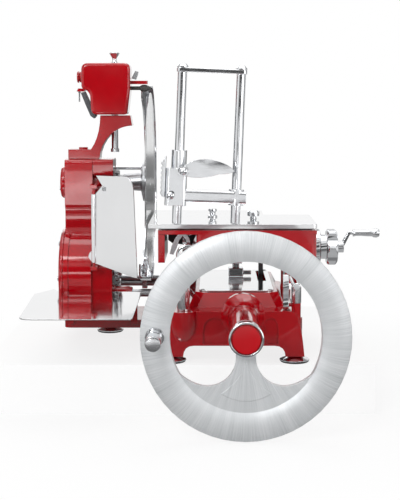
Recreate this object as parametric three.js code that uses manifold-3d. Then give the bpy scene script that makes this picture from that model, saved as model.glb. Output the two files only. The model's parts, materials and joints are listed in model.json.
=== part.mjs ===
// Flywheel slicer turned by hand: red castings, a chrome carriage and a round blade.
// Millimetres. X runs along the blade shaft towards the feed crank, Y from the operator to the back, Z up.
// The flywheel's axis is the line X = 0, the blade's axis the line Y = 0, and the feet stand on Z = 0.
import * as THREE from "three";
import { ConvexGeometry } from "three/addons/geometries/ConvexGeometry.js";
import { mergeVertices } from "three/addons/utils/BufferGeometryUtils.js";
import Module from "manifold-3d";

const wasm = await Module();
wasm.setup();

// Clearances
const seatGap = 0.3; // between faces that rest on each other
const runGap = 0.2; // round a shaft that turns in its bearing
const pressGap = 0.1; // round a bush or a shaft end in its seat
const freeGap = 0.8; // between pieces that pass each other

// Base casting
const baseLeft = -131;
const baseRight = 98;
const baseFront = -250;
const baseBack = 62;
const baseTop = 83;
const baseWall = 7;
const legBottom = 10;
const archTop = 27.6;
const legInnerLeft = -95;
const legInnerRight = 68;
const deckLeft = -88;
const deckRight = 70;
const deckFront = -214;
const deckBack = 56;
const deckTop = 104.7;
const deckSlope = 12;
const deckRoof = 4.4;
const armLeft = -306;
const armHalfDepth = 74;
const armBottom = 22;
const armTop = 36;

// Drip plate and feet
const plateLeft = -70;
const plateRight = 52;
const plateFront = -193;
const plateBack = 41;
const plateThickness = 2;
const footRadius = 23.8;
const footNeck = 9;

// Flywheel and its shaft
const wheelAxisZ = 76.5;
const wheelRadius = 152.7;
const rimInner = 110;
const rimCrestY = -432;
const rimBackY = -408;
const rimRoll = 8;
const webThickness = 9;
const lobeRadius = 41;
const lobeX = 55.5;
const lobeDrop = 30.2;
const hubRadius = 25.5;
const hubFrontY = -440;
const capRadius = 21.8;
const gripReach = 131;
const gripRise = 3;
const gripRadius = 11.5;
const gripLength = 50;
const gripPinRadius = 5;
const wheelShaftRadius = 9;
const bushRadius = 13;
const bossRadius = 21;
const bossFrontY = -394;

// Drive train: bevel pair, cross shaft with its crank, spur pair, chain
const crossAxisY = -32;
const bevelTeeth = 12;
const bevelRadius = 21;
const bevelFace = 9.5;
const crossShaftRadius = 7;
const crankRadius = 18;
const crankDiscX = 25;
const crankDiscWidth = 7;
const crankPinRadius = 3;
const crossGearTeeth = 24;
const lowerGearTeeth = 12;
const gearX = -298;
const gearWidth = 9;
const lowerAxisZ = 113.5;
const lowerShaftRadius = 7;
const chainPitch = 9.946; // closes evenly on 50 links
const chainToothDepth = 3.2;
const lowerChainTeeth = 24;
const upperChainTeeth = 12;
const chainX = -218;
const chainGapWidth = 4.6;
const chainPlate = 1.1;
const rollerRadius = 2.6;
const chainPlateHalf = 3;

// Rocker between the crank and the carriage
const rockerX = 33;
const rockerWidth = 8;
const rockerPivotZ = 49.3;
const rockerReach = 128;
const rockerHalf = 9.5;
const rockerNeckHalf = 3.4;
const rockerTipRadius = 6;
const rockerPinRadius = 4.2;
const rockerSlack = 4.2; // the tip swings on an arc while the carriage travels evenly
const forkLow = 146;

// Blade and its guard ring
const bladeAxisZ = 271;
const bladeRadius = 159.5;
const bladeFaceX = -158;
const bladeThickness = 3.2;
const bladeBevel = 14;
const bladeShaftRadius = 8;
const bladeBushRadius = 12;
const guardRadius = 176;
const guardInner = 150;
const guardWall = 3;
const guardRight = -156;
const guardLeft = -177;
const guardTopDeg = 78;
const guardLowDeg = -110;
const stayY = 20;
const stayRise = 24;
const barY = 50;
const barRadius = 5.1;
const barLowZ = 80.9;
const barSpacing = 10;
const barLeft = -217;

// Column
const columnLeft = -308;
const columnRight = -259;
const drumRadius = 74;
const flangeRadius = 76.5;
const flangeWidth = 9;
const flangeLobeRadius = 39;
const gearRoom = 66;
const gearLobeRoom = 35;
const columnWall = 7;
const headTop = 313;
const headLow = 227;
const headHalf = 35;
const waistHalf = 28;
const boxRight = -223;
const boxTop = 136;
const boxFront = -66;
const boxBack = 44;
const snoutRadius = 22;
const bearingRadius = 13;
const lowerCoverWidth = 7.5;
const upperCoverRadius = 28.5;
const upperCoverWidth = 9;

// Carriage rails
const railRadius = 6.3;
const railZ = 121.8;
const leftRailX = -94.5;
const rightRailX = 85;
const railFront = -250;
const railBack = 58;
const frontPostY = -240;
const rearPostY = 46;
const leftPostRadius = 10;
const rightPostRadius = 8;
const redPostTop = 95;

// Carriage
const carriageLeft = -75;
const carriageRight = 124;
const carriageFront = -170;
const carriageBack = -10;
const carriageBottom = 152;
const carriageRoof = 196;
const carriageTop = 203;
const carriageWall = 6;
const legLeft = -138;
const legRight = -127;
const slideFront = -125;
const slideBack = -65;
const slideLow = 108;
const slideTop = 168;

// Meat table
const tableLow = 206.4;
const tableTop = 213.4;
const tableLeft = -154;
const tableFront = -175;
const tableStep = 42;
const tableBack = 72;
const tableSideBack = -10;
const tableTravel = 150;
const tablePin = [-48, -48];
const tableKnob = [22, -80];

// Feed group
const feedY = -75;
const feedZ = 164;
const screwRadius = 6;
const screwLeft = -66;
const dialRadius = 30.5;
const dialWidth = 13;
const neckRadius = 21;
const neckWidth = 11;
const starRadius = 33;
const starLobes = 6;
const starDepth = 3.5;
const starWidth = 18;
const feedThrow = 24;
const feedSlope = 14;

// Uprights and press, in a frame that leans away from the blade
const leanDeg = 2.4;
const uprightX = -107.5;
const uprightY = -164;
const uprightRadius = 7.8;
const studRadius = 4;
const uprightPitch = 96.3;
const crossbarLow = 250;
const crossbarHeight = 7;
const beamLow = 37;
const beamTop = 58;
const beamHalfDepth = 12;
const sleeveTop = 122;
const guideLeft = -21;
const leafPivotX = 8;
const leafPivotZ = 88;

// Tray and deflector
const trayTop = 87;
const trayThickness = 1.6;
const hingeX = -252;
const hingeY = -84;
const hingeRodRadius = 2.5;
const hingeBarrelRadius = 4.6;
const deflectorDeg = -28.4;
const deflectorThickness = 2;

// Sharpener
const spindleX = -222;
const spindleRadius = 6;
const armFootTop = 330;
const armBlockTop = 390;
const sharpenerArmHalf = 20;
const headPieceLow = 391.3;
const headPieceTop = 482;
const headPieceLeft = -278.5;
const headPieceRight = -192.6;
const headPieceHalf = 29;
const buttonZ = 458;
const stoneZ = 438;
const stoneRadius = 6;
const stoneSpindleRadius = 3.4;

// Lock lever
const leverLeft = 64;
const leverRight = 73;
const leverPivotY = -236;
const leverPivotZ = 91;

const radians = (angle) => THREE.MathUtils.degToRad(angle);

// A closed geometry as a solid with shared corners and outward faces
function solidOf(geometry) {
  const plain = geometry.index ? geometry.toNonIndexed() : geometry.clone();
  plain.deleteAttribute("normal");
  plain.deleteAttribute("uv");
  const merged = mergeVertices(plain, 1e-4);
  const corners = merged.index.array;
  const kept = [];
  for (let i = 0; i < corners.length; i += 3) {
    const [a, b, c] = corners.slice(i, i + 3);
    if (a !== b && b !== c && c !== a) kept.push(a, b, c);
  }
  const build = (triangles) =>
    new wasm.Manifold(
      new wasm.Mesh({
        numProp: 3,
        vertProperties: new Float32Array(merged.attributes.position.array),
        triVerts: new Uint32Array(triangles),
      }),
    );
  const solid = build(kept);
  return solid.volume() < 0 ? build(kept.reverse()) : solid;
}

const join = (...solids) => solids.reduce((sum, solid) => sum.add(solid));
const cut = (body, ...tools) => tools.reduce((rest, tool) => rest.subtract(tool), body);
const at = (x, y, z, solid) => solid.translate([x, y, z]);

// Outlines
function rectangle(x0, y0, x1, y1, radius = 0) {
  const shape = new THREE.Shape();
  if (radius <= 0) {
    shape.moveTo(x0, y0);
    shape.lineTo(x1, y0);
    shape.lineTo(x1, y1);
    shape.lineTo(x0, y1);
    return shape;
  }
  shape.absarc(x1 - radius, y0 + radius, radius, -Math.PI / 2, 0, false);
  shape.absarc(x1 - radius, y1 - radius, radius, 0, Math.PI / 2, false);
  shape.absarc(x0 + radius, y1 - radius, radius, Math.PI / 2, Math.PI, false);
  shape.absarc(x0 + radius, y0 + radius, radius, Math.PI, 1.5 * Math.PI, false);
  return shape;
}

const outline = (points) => new THREE.Shape(points.map(([x, y]) => new THREE.Vector2(x, y)));

// Two discs and the straight sides that touch both
function beltOutline(x0, y0, r0, x1, y1, r1) {
  const heading = Math.atan2(y1 - y0, x1 - x0);
  const spread = Math.acos((r0 - r1) / Math.hypot(x1 - x0, y1 - y0));
  const shape = new THREE.Shape();
  shape.absarc(x0, y0, r0, heading + spread, heading - spread + 2 * Math.PI, false);
  shape.absarc(x1, y1, r1, heading - spread, heading + spread, false);
  return shape;
}

// Straight solids along each axis
function extruded(shape, depth, segments) {
  return new THREE.ExtrudeGeometry(shape, { depth, bevelEnabled: false, curveSegments: segments });
}

function alongX(shape, x0, x1, segments = 6) {
  const turn = new THREE.Matrix4().set(0, 0, 1, x0, 1, 0, 0, 0, 0, 1, 0, 0, 0, 0, 0, 1);
  return solidOf(extruded(shape, x1 - x0, segments).applyMatrix4(turn));
}

function alongY(shape, y0, y1, segments = 6) {
  const turn = new THREE.Matrix4().set(1, 0, 0, 0, 0, 0, -1, y1, 0, 1, 0, 0, 0, 0, 0, 1);
  return solidOf(extruded(shape, y1 - y0, segments).applyMatrix4(turn));
}

function alongZ(shape, z0, z1, segments = 6) {
  return solidOf(extruded(shape, z1 - z0, segments).translate(0, 0, z0));
}

const block = (x0, x1, y0, y1, z0, z1) => alongZ(rectangle(x0, y0, x1, y1), z0, z1);

// Turned solids: [station along the axis, radius] pairs
function turned(axis, profile, sides = 24) {
  const points = profile.map(([station, radius]) => new THREE.Vector2(radius, station));
  const geometry = new THREE.LatheGeometry(points, sides);
  if (axis === "x") geometry.rotateZ(-Math.PI / 2);
  if (axis === "z") geometry.rotateX(Math.PI / 2);
  return solidOf(geometry);
}

function rod(axis, radius, from, to, sides = 16) {
  const profile = [
    [from, 0],
    [from, radius],
    [to, radius],
    [to, 0],
  ];
  return turned(axis, profile, sides);
}

function pipe(axis, outer, inner, from, to, sides = 24) {
  const profile = [
    [from, inner],
    [from, outer],
    [to, outer],
    [to, inner],
    [from, inner],
  ];
  return turned(axis, profile, sides);
}

// Gear outline: straight-flanked teeth, thinner than their gaps so that a pair runs freely
function gearOutline(teeth, pitchRadius, tip, root, phase = 0) {
  const step = (2 * Math.PI) / teeth;
  const corners = [
    [pitchRadius - root, -0.31],
    [pitchRadius + tip, -0.12],
    [pitchRadius + tip, 0.12],
    [pitchRadius - root, 0.31],
  ];
  const points = [];
  for (let i = 0; i < teeth; i += 1) {
    for (const [radius, share] of corners) {
      const angle = phase + (i + share) * step;
      points.push([radius * Math.cos(angle), radius * Math.sin(angle)]);
    }
  }
  return outline(points);
}

// Bevel gear on the negative side of the axes' crossing point, shrinking towards it
function bevelGeometry(phase) {
  const shape = gearOutline(bevelTeeth, bevelRadius, 1.1, 1.9, phase);
  const geometry = extruded(shape, 1, 1);
  const spot = geometry.attributes.position;
  for (let i = 0; i < spot.count; i += 1) {
    const reach = bevelRadius - spot.getZ(i) * bevelFace;
    const scale = reach / bevelRadius;
    spot.setXYZ(i, spot.getX(i) * scale, spot.getY(i) * scale, -reach);
  }
  return geometry;
}

// Scene graph and finishes
const slicer = new THREE.Group();
slicer.name = "slicer";

const finishes = {
  red: { color: 0xb0101c, roughness: 0.18, metalness: 0 },
  chrome: { color: 0xdfe1e2, roughness: 0.08, metalness: 1 },
  polished: { color: 0xe6e6e6, roughness: 0.14, metalness: 1 },
  satin: { color: 0xc4c8ca, roughness: 0.34, metalness: 1 },
  steel: { color: 0x9a9da0, roughness: 0.3, metalness: 1 },
  iron: { color: 0x55585b, roughness: 0.5, metalness: 0.8 },
  bronze: { color: 0xb08a4a, roughness: 0.35, metalness: 1 },
  rubber: { color: 0x141414, roughness: 0.85, metalness: 0 },
  stone: { color: 0x3b3d3e, roughness: 0.95, metalness: 0 },
};

function addPart(group, name, finish, solid) {
  const mesh = solid.getMesh();
  const corners = new Float32Array(mesh.numVert * 3);
  for (let i = 0; i < mesh.numVert; i += 1) {
    const start = i * mesh.numProp;
    corners.set(mesh.vertProperties.subarray(start, start + 3), i * 3);
  }
  const geometry = new THREE.BufferGeometry();
  geometry.setAttribute("position", new THREE.BufferAttribute(corners, 3));
  geometry.setIndex(new THREE.BufferAttribute(mesh.triVerts, 1));
  geometry.computeVertexNormals();
  const piece = new THREE.Mesh(geometry, new THREE.MeshStandardMaterial(finishes[finish]));
  piece.name = name;
  group.add(piece);
}

function groupAt(parent, x, y, z) {
  const group = new THREE.Group();
  group.position.set(x, y, z);
  parent.add(group);
  return group;
}

const base = groupAt(slicer, 0, 0, 0);
const wheel = groupAt(slicer, 0, 0, wheelAxisZ);
const cross = groupAt(slicer, 0, crossAxisY, wheelAxisZ);
const lower = groupAt(slicer, 0, 0, lowerAxisZ);
const blade = groupAt(slicer, 0, 0, bladeAxisZ);
const rocker = groupAt(slicer, 0, crossAxisY, rockerPivotZ);
const carriage = groupAt(slicer, 0, 0, 0);
const feed = groupAt(slicer, 0, feedY, feedZ);
const table = groupAt(slicer, 0, 0, 0);
const lean = groupAt(table, uprightX, uprightY, tableTop);
lean.rotation.y = radians(leanDeg);
const press = groupAt(lean, 0, 0, 0);
const deflector = groupAt(slicer, hingeX, hingeY, 0);
deflector.rotation.z = radians(deflectorDeg);
const sharpener = groupAt(slicer, spindleX, 0, 0);
const lever = groupAt(slicer, 0, leverPivotY, leverPivotZ);

// Sizes that several pieces share
const gearRise = lowerAxisZ - wheelAxisZ;
const gearDistance = Math.hypot(crossAxisY, gearRise);
const toothTotal = crossGearTeeth + lowerGearTeeth;
const crossGearRadius = (gearDistance * crossGearTeeth) / toothTotal;
const lowerGearRadius = (gearDistance * lowerGearTeeth) / toothTotal;
const gearHeading = Math.atan2(gearRise, -crossAxisY);
const lowerChainRadius = chainPitch / 2 / Math.sin(Math.PI / lowerChainTeeth);
const upperChainRadius = chainPitch / 2 / Math.sin(Math.PI / upperChainTeeth);
const swing = Math.asin(crankRadius / (wheelAxisZ - rockerPivotZ));
const slotLeft = rockerX - 3;
const slotRight = rockerX + rockerWidth + 3;
const slotHalf = (deckTop + plateThickness - rockerPivotZ) * Math.tan(swing) + 10;
const roofZ = deckTop - deckRoof;
const webFaceY = rimCrestY + rimRoll;
const bladeBackX = bladeFaceX - bladeThickness;
const trayLow = trayTop - trayThickness;
const feet = [
  ["foot_front_left", -114, -236],
  ["foot_front_right", 83, -236],
  ["foot_rear_right", 83, 40],
  ["foot_under_column", -233, 9],
];
const columnFoot = feet[3];

// Base casting: a hollow box on legs, an arm under the column and a boss for the flywheel shaft
function frontElevation() {
  const shape = new THREE.Shape();
  shape.moveTo(baseLeft, legBottom);
  shape.lineTo(legInnerLeft, legBottom);
  shape.quadraticCurveTo(legInnerLeft + 1, archTop, legInnerLeft + 17, archTop);
  shape.lineTo(legInnerRight - 17, archTop);
  shape.quadraticCurveTo(legInnerRight - 1, archTop, legInnerRight, legBottom);
  shape.lineTo(baseRight, legBottom);
  shape.quadraticCurveTo(baseRight - 3, 45, baseRight - 8, baseTop - 18);
  shape.quadraticCurveTo(baseRight - 11, baseTop, baseRight - 27, baseTop);
  shape.lineTo(baseLeft + 24, baseTop);
  shape.quadraticCurveTo(baseLeft + 9, baseTop, baseLeft + 7, baseTop - 18);
  return shape;
}

function deckBlock() {
  const points = [];
  const corner = 14;
  for (const [z, inset] of [
    [baseTop - 3, 0],
    [deckTop, deckSlope],
  ]) {
    for (const [x, y, alongEdge, acrossEdge] of [
      [deckLeft + inset, deckFront + inset, 1, 1],
      [deckRight - inset, deckFront + inset, -1, 1],
      [deckRight - inset, deckBack - inset, -1, -1],
      [deckLeft + inset, deckBack - inset, 1, -1],
    ]) {
      points.push(new THREE.Vector3(x + alongEdge * corner, y, z));
      points.push(new THREE.Vector3(x, y + acrossEdge * corner, z));
    }
  }
  return solidOf(new ConvexGeometry(points));
}

function sideArch(x0, x1) {
  const top = archTop + 4;
  const shape = new THREE.Shape();
  shape.moveTo(baseFront + 44, 0);
  shape.lineTo(baseBack - 44, 0);
  shape.quadraticCurveTo(baseBack - 46, top, baseBack - 62, top);
  shape.lineTo(baseFront + 62, top);
  shape.quadraticCurveTo(baseFront + 46, top, baseFront + 44, 0);
  return alongX(shape, x0, x1, 3);
}

function frontRecess(x0, x1) {
  const shape = new THREE.Shape();
  shape.moveTo(x0, archTop + 3);
  shape.lineTo(x1, archTop + 3);
  shape.lineTo(x1, 52);
  shape.quadraticCurveTo(x1, 72, (x0 + x1) / 2, 72);
  shape.quadraticCurveTo(x0, 72, x0, 52);
  return alongY(shape, baseFront - 1, baseFront + 3, 3);
}

function makeBase() {
  const room = alongY(
    rectangle(baseLeft + 14, -20, baseRight - 17, baseTop - baseWall, 8),
    baseFront + baseWall,
    baseBack - baseWall,
    3,
  );
  const deckRoom = block(deckLeft + 20, deckRight - 20, deckFront + 20, deckBack - 20, baseTop - 12, roofZ);
  const rearLeftLeg = block(baseLeft - 5, legInnerLeft + 18, -110, baseBack + 5, -5, archTop);
  const shell = cut(
    join(alongY(frontElevation(), baseFront, baseBack, 4), deckBlock()),
    room,
    deckRoom,
    sideArch(baseLeft - 5, baseRight + 5),
    rearLeftLeg,
    frontRecess(-63, -25),
    frontRecess(33, 56),
  );

  // Arm under the column, and the two ledges that carry the tray
  const armShape = rectangle(armLeft, -armHalfDepth, baseLeft + 20, armHalfDepth - 14, 12);
  const ledgeShape = outline([
    [-armHalfDepth + 2, armBottom + 4],
    [-armHalfDepth - 9, armBottom + 8],
    [-armHalfDepth - 9, 70],
    [-165, 78],
    [-165, trayLow - seatGap],
    [-92, trayLow - seatGap],
    [-armHalfDepth - 5, 76],
    [-armHalfDepth + 2, 40],
  ]);
  const ledges = [-300, -190].map((x) => alongX(ledgeShape, x, x + 12));

  // Boss and inner tube for the flywheel shaft
  const bossProfile = [
    [bossFrontY, 0],
    [bossFrontY, bossRadius],
    [baseFront - 40, bossRadius],
    [baseFront - 20, bossRadius + 2],
    [baseFront - 8, bossRadius + 7],
    [baseFront, bossRadius + 14],
    [baseFront + baseWall + 4, bossRadius + 14],
    [baseFront + baseWall + 16, bossRadius],
    [-150, bushRadius + 6],
    [-150, 0],
  ];
  const boss = at(0, 0, wheelAxisZ, turned("y", bossProfile, 18));
  const bushBore = at(0, 0, wheelAxisZ, rod("y", bushRadius + pressGap, bossFrontY - 1, -140, 16));

  // Seats of the rail posts, and the pin of the lock lever
  const seatProfile = [
    [34, 0],
    [36, 12],
    [46, 20],
    [60, 23.5],
    [baseTop, 23.5],
    [baseTop, 0],
  ];
  const leftSeat = at(leftRailX, frontPostY, 0, turned("z", seatProfile, 14));
  const redPost = at(rightRailX, frontPostY, 0, rod("z", rightPostRadius - 0.5, 46, redPostTop, 12));
  const rearPosts = [leftRailX, rightRailX].map((x) =>
    at(x, rearPostY, 0, rod("z", rightPostRadius, 44, railZ - railRadius - seatGap, 10)),
  );
  const leverPin = at(0, leverPivotY, leverPivotZ, rod("x", 3, leverLeft - 1.5, rightRailX - 3, 12));

  // Bearings of the cross shaft, and the web with the rocker's pin
  const leftBearing = at(0, crossAxisY, wheelAxisZ, rod("x", bearingRadius, baseLeft + 6, baseLeft + 30, 16));
  const innerWeb = alongX(rectangle(crossAxisY - 18, 62, crossAxisY + 18, roofZ + 1), -62, -52);
  const webShape = rectangle(crossAxisY - 16, rockerPivotZ - 10, crossAxisY + 16, roofZ + 1);
  const rockerWeb = alongX(webShape, slotRight, slotRight + 9);
  const rockerPin = at(0, crossAxisY, rockerPivotZ, rod("x", rockerPinRadius, rockerX - 0.5, slotRight + 2, 16));
  const crossBore = at(0, crossAxisY, wheelAxisZ, rod("x", crossShaftRadius + runGap, baseLeft - 5, -40, 16));

  // Block that holds the two low bars
  const barBlockShape = rectangle(barY - 9, 60, barY + 9, barLowZ + barSpacing + 9, 4);
  const barBlock = alongX(barBlockShape, baseLeft + 2, baseLeft + 30, 3);
  const barBores = [0, 1].map((i) =>
    at(0, barY, barLowZ + i * barSpacing, rod("x", barRadius + pressGap, baseLeft - 5, baseLeft + 24, 12)),
  );

  const legs = feet
    .filter((foot) => foot !== columnFoot)
    .map(([, x, y]) => at(x, y, 0, rod("z", 12, legBottom, baseTop - 12, 8)));
  const pad = at(columnFoot[1], columnFoot[2], 0, rod("z", 14, legBottom, armBottom + 2, 12));
  const slotShape = rectangle(slotLeft, crossAxisY - slotHalf, slotRight, crossAxisY + slotHalf, 5);
  const rockerSlot = alongZ(slotShape, roofZ - 4, deckTop + 4, 4);

  const arm = alongZ(armShape, armBottom, armTop, 3);
  const solid = join(shell, arm, ...ledges, boss, leftSeat, redPost, ...rearPosts, ...legs, pad, leverPin);
  const bearings = join(solid, leftBearing, innerWeb, barBlock);
  return join(cut(bearings, rockerSlot, bushBore, crossBore, ...barBores), rockerWeb, rockerPin);
}
addPart(base, "base_casting", "red", makeBase());

function makeDripPlate() {
  const low = deckTop + seatGap;
  const sheet = rectangle(plateLeft, plateFront, plateRight, plateBack, 16);
  const slot = rectangle(slotLeft, crossAxisY - slotHalf, slotRight, crossAxisY + slotHalf, 5);
  return cut(alongZ(sheet, low, low + plateThickness, 4), alongZ(slot, deckTop, deckTop + 6, 4));
}
addPart(base, "drip_plate", "polished", makeDripPlate());

const footProfile = [
  [0, 0],
  [0, footRadius - 1.5],
  [2, footRadius],
  [4, footRadius],
  [5.5, footRadius - 4],
  [legBottom - 1.5, footNeck + 3],
  [legBottom - seatGap, footNeck],
  [legBottom - seatGap, 0],
];
for (const [name, x, y] of feet) {
  addPart(groupAt(base, x, y, 0), name, "rubber", turned("z", footProfile, 20));
}

const wheelBush = pipe("y", bushRadius, wheelShaftRadius + runGap, bossFrontY + 1, -152, 16);
addPart(groupAt(base, 0, 0, wheelAxisZ), "wheel_bush", "bronze", wheelBush);

// Flywheel: convex rim, one fan-shaped spoke between two round openings
function makeFlywheel() {
  const crest = (rimInner + wheelRadius) / 2;
  const rimProfile = [
    [rimBackY, rimInner],
    [rimCrestY + rimRoll, rimInner],
    [rimCrestY + 2.4, rimInner + 8],
    [rimCrestY, crest],
    [rimCrestY + 2.4, wheelRadius - 8],
    [rimCrestY + rimRoll, wheelRadius],
    [rimBackY, wheelRadius],
    [rimBackY, rimInner],
  ];

  const stem = lobeX - lobeRadius;
  const reach = rimInner + 4;
  const lobeEnd = radians(81);
  const shoulder = radians(22);
  const lobeEndX = lobeX + lobeRadius * Math.cos(lobeEnd);
  const lobeEndY = -lobeDrop - lobeRadius * Math.sin(lobeEnd);
  const spoke = new THREE.Shape();
  spoke.absarc(0, 0, reach, Math.PI + shoulder, 2 * Math.PI - shoulder, false);
  spoke.quadraticCurveTo(86, -66, lobeEndX, lobeEndY);
  spoke.absarc(lobeX, -lobeDrop, lobeRadius, -lobeEnd, -Math.PI, true);
  spoke.lineTo(stem, 0);
  spoke.lineTo(-stem, 0);
  spoke.absarc(-lobeX, -lobeDrop, lobeRadius, 0, lobeEnd - Math.PI, true);
  spoke.quadraticCurveTo(-86, -66, -reach * Math.cos(shoulder), -reach * Math.sin(shoulder));
  const plate = alongY(spoke, webFaceY, webFaceY + webThickness, 9);

  const panel = new THREE.Shape();
  panel.moveTo(0, -34);
  panel.quadraticCurveTo(-6, -62, -36, -82);
  panel.quadraticCurveTo(0, -104, 36, -82);
  panel.quadraticCurveTo(6, -62, 0, -34);
  const raised = alongY(panel, webFaceY - 1.2, webFaceY + 2, 5);

  const boss = rod("y", hubRadius - 3, webFaceY + 1, webFaceY + 18, 24);
  const bore = rod("y", wheelShaftRadius + pressGap, webFaceY - 5, webFaceY + 20, 16);
  const pinHole = rod("y", gripPinRadius + pressGap, rimCrestY - 5, rimBackY + 5, 12);
  return cut(join(turned("y", rimProfile, 56), plate, raised, boss), bore, at(-gripReach, 0, gripRise, pinHole));
}
addPart(wheel, "flywheel", "satin", makeFlywheel());

const capSeatY = hubFrontY + 5;
const hubProfile = [
  [webFaceY - seatGap, wheelShaftRadius + pressGap],
  [webFaceY - seatGap, hubRadius],
  [hubFrontY + 1, hubRadius],
  [hubFrontY, hubRadius - 1],
  [hubFrontY, capRadius + seatGap],
  [capSeatY, capRadius + seatGap],
  [capSeatY, wheelShaftRadius + pressGap],
  [webFaceY - seatGap, wheelShaftRadius + pressGap],
];
addPart(wheel, "wheel_hub", "chrome", turned("y", hubProfile, 32));

const capProfile = [
  [capSeatY - seatGap, 0],
  [capSeatY - seatGap, capRadius],
  [hubFrontY + 0.6, capRadius],
  [hubFrontY - 0.2, capRadius - 1],
  [hubFrontY - 0.6, 0],
];
addPart(wheel, "hub_cap", "red", turned("y", capProfile, 32));

const shaftEndY = crossAxisY - bevelRadius - 4;
const wheelShaft = join(
  rod("y", wheelShaftRadius, capSeatY + seatGap, shaftEndY, 16),
  rod("y", wheelShaftRadius + 4, webFaceY + 18 + seatGap, bossFrontY - seatGap, 16),
);
addPart(wheel, "wheel_shaft", "steel", wheelShaft);

function makeWheelBevel() {
  const teeth = at(0, crossAxisY, 0, solidOf(bevelGeometry(0).rotateX(-Math.PI / 2)));
  const hub = rod("y", 15, shaftEndY - 14, crossAxisY - bevelRadius + 0.5, 16);
  return cut(join(teeth, hub), rod("y", wheelShaftRadius + pressGap, shaftEndY - 20, shaftEndY + seatGap, 16));
}
addPart(wheel, "wheel_bevel", "steel", makeWheelBevel());

const gripGroup = groupAt(wheel, -gripReach, 0, gripRise);
const gripFootY = rimCrestY - seatGap;
const gripPin = join(
  rod("y", gripPinRadius, gripFootY - gripLength, rimBackY + 1, 12),
  rod("y", gripRadius + 2.5, gripFootY - 3, gripFootY, 20),
  rod("y", 8, rimBackY + seatGap, rimBackY + 5, 6),
);
addPart(gripGroup, "grip_pin", "chrome", gripPin);

const gripBack = gripFootY - 3 - seatGap;
const gripFront = gripBack - gripLength;
const gripProfile = [
  [gripBack, gripPinRadius + seatGap],
  [gripBack, gripRadius - 1],
  [gripBack - 4, gripRadius - 3],
  [gripBack - 10, gripRadius - 2],
  [gripBack - 24, gripRadius],
  [gripFront + 3, gripRadius],
  [gripFront + 0.6, gripRadius - 1],
  [gripFront, gripRadius - 3.4],
  [gripFront, 0],
  [gripFront + 2, 0],
  [gripFront + 2, gripPinRadius + seatGap],
  [gripBack, gripPinRadius + seatGap],
];
addPart(groupAt(slicer, -gripReach, 0, wheelAxisZ + gripRise), "wheel_grip", "polished", turned("y", gripProfile, 20));

// Cross shaft with its gears and crank
const crossShaftEnd = crankDiscX + crankDiscWidth - 2;
addPart(cross, "cross_shaft", "steel", rod("x", crossShaftRadius, gearX - 5, crossShaftEnd, 16));

function makeCrossBevel() {
  const teeth = solidOf(bevelGeometry(Math.PI / bevelTeeth).rotateY(Math.PI / 2));
  const hub = rod("x", 14, -bevelRadius - 10, -bevelRadius + 0.5, 16);
  return cut(join(teeth, hub), rod("x", crossShaftRadius + pressGap, -bevelRadius - 11, 0, 16));
}
addPart(cross, "cross_bevel", "steel", makeCrossBevel());

function makeCrankDisc() {
  const disc = rod("x", crankRadius + crankPinRadius + 2, crankDiscX, crankDiscX + crankDiscWidth, 24);
  const pin = at(0, 0, crankRadius, rod("x", crankPinRadius, crankDiscX + 1, rockerX - seatGap, 12));
  return cut(join(disc, pin), rod("x", crossShaftRadius + pressGap, crankDiscX - 1, crossShaftEnd + seatGap, 16));
}
addPart(cross, "crank_disc", "iron", makeCrankDisc());

function spurGear(teeth, pitchRadius, phase, boreRadius) {
  const rim = alongX(gearOutline(teeth, pitchRadius, 1.6, 2.3, phase), gearX, gearX + gearWidth);
  const hub = rod("x", boreRadius + 5, gearX + gearWidth - 1, gearX + gearWidth + 3, 16);
  return cut(join(rim, hub), rod("x", boreRadius + pressGap, gearX - 1, gearX + gearWidth + 4, 16));
}
const crossGear = spurGear(crossGearTeeth, crossGearRadius, gearHeading, crossShaftRadius);
addPart(cross, "cross_gear", "steel", crossGear);

// Lower shaft
const lowerPhase = gearHeading + Math.PI + Math.PI / lowerGearTeeth;
const lowerGear = spurGear(lowerGearTeeth, lowerGearRadius, lowerPhase, lowerShaftRadius);
addPart(lower, "lower_shaft", "steel", rod("x", lowerShaftRadius, gearX - 5, chainX + 8, 16));
addPart(lower, "lower_gear", "steel", lowerGear);

// Chain wheels. The chain can't travel with them, so the teeth end just inside its rollers
function chainWheel(teeth, pitchRadius, boreRadius, hubRight) {
  const step = (2 * Math.PI) / teeth;
  const tipRadius = pitchRadius - rollerRadius - runGap;
  const rootRadius = tipRadius - chainToothDepth;
  const corners = [
    [rootRadius, -0.22],
    [rootRadius, 0.22],
    [tipRadius, 0.36],
    [tipRadius, 0.64],
  ];
  const points = [];
  for (let i = 0; i < teeth; i += 1) {
    for (const [radius, share] of corners) {
      const angle = (i + share) * step;
      points.push([radius * Math.cos(angle), radius * Math.sin(angle)]);
    }
  }
  const half = chainGapWidth / 2 - 0.5;
  const rim = alongX(outline(points), chainX - half, chainX + half);
  const hub = rod("x", boreRadius + 5, chainX - 4.2, hubRight, 16);
  return cut(join(rim, hub), rod("x", boreRadius + pressGap, chainX - 6, hubRight + 1, 16));
}
const lowerChainWheel = chainWheel(lowerChainTeeth, lowerChainRadius, lowerShaftRadius, chainX + 7);
addPart(lower, "lower_chain_wheel", "steel", lowerChainWheel);

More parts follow.
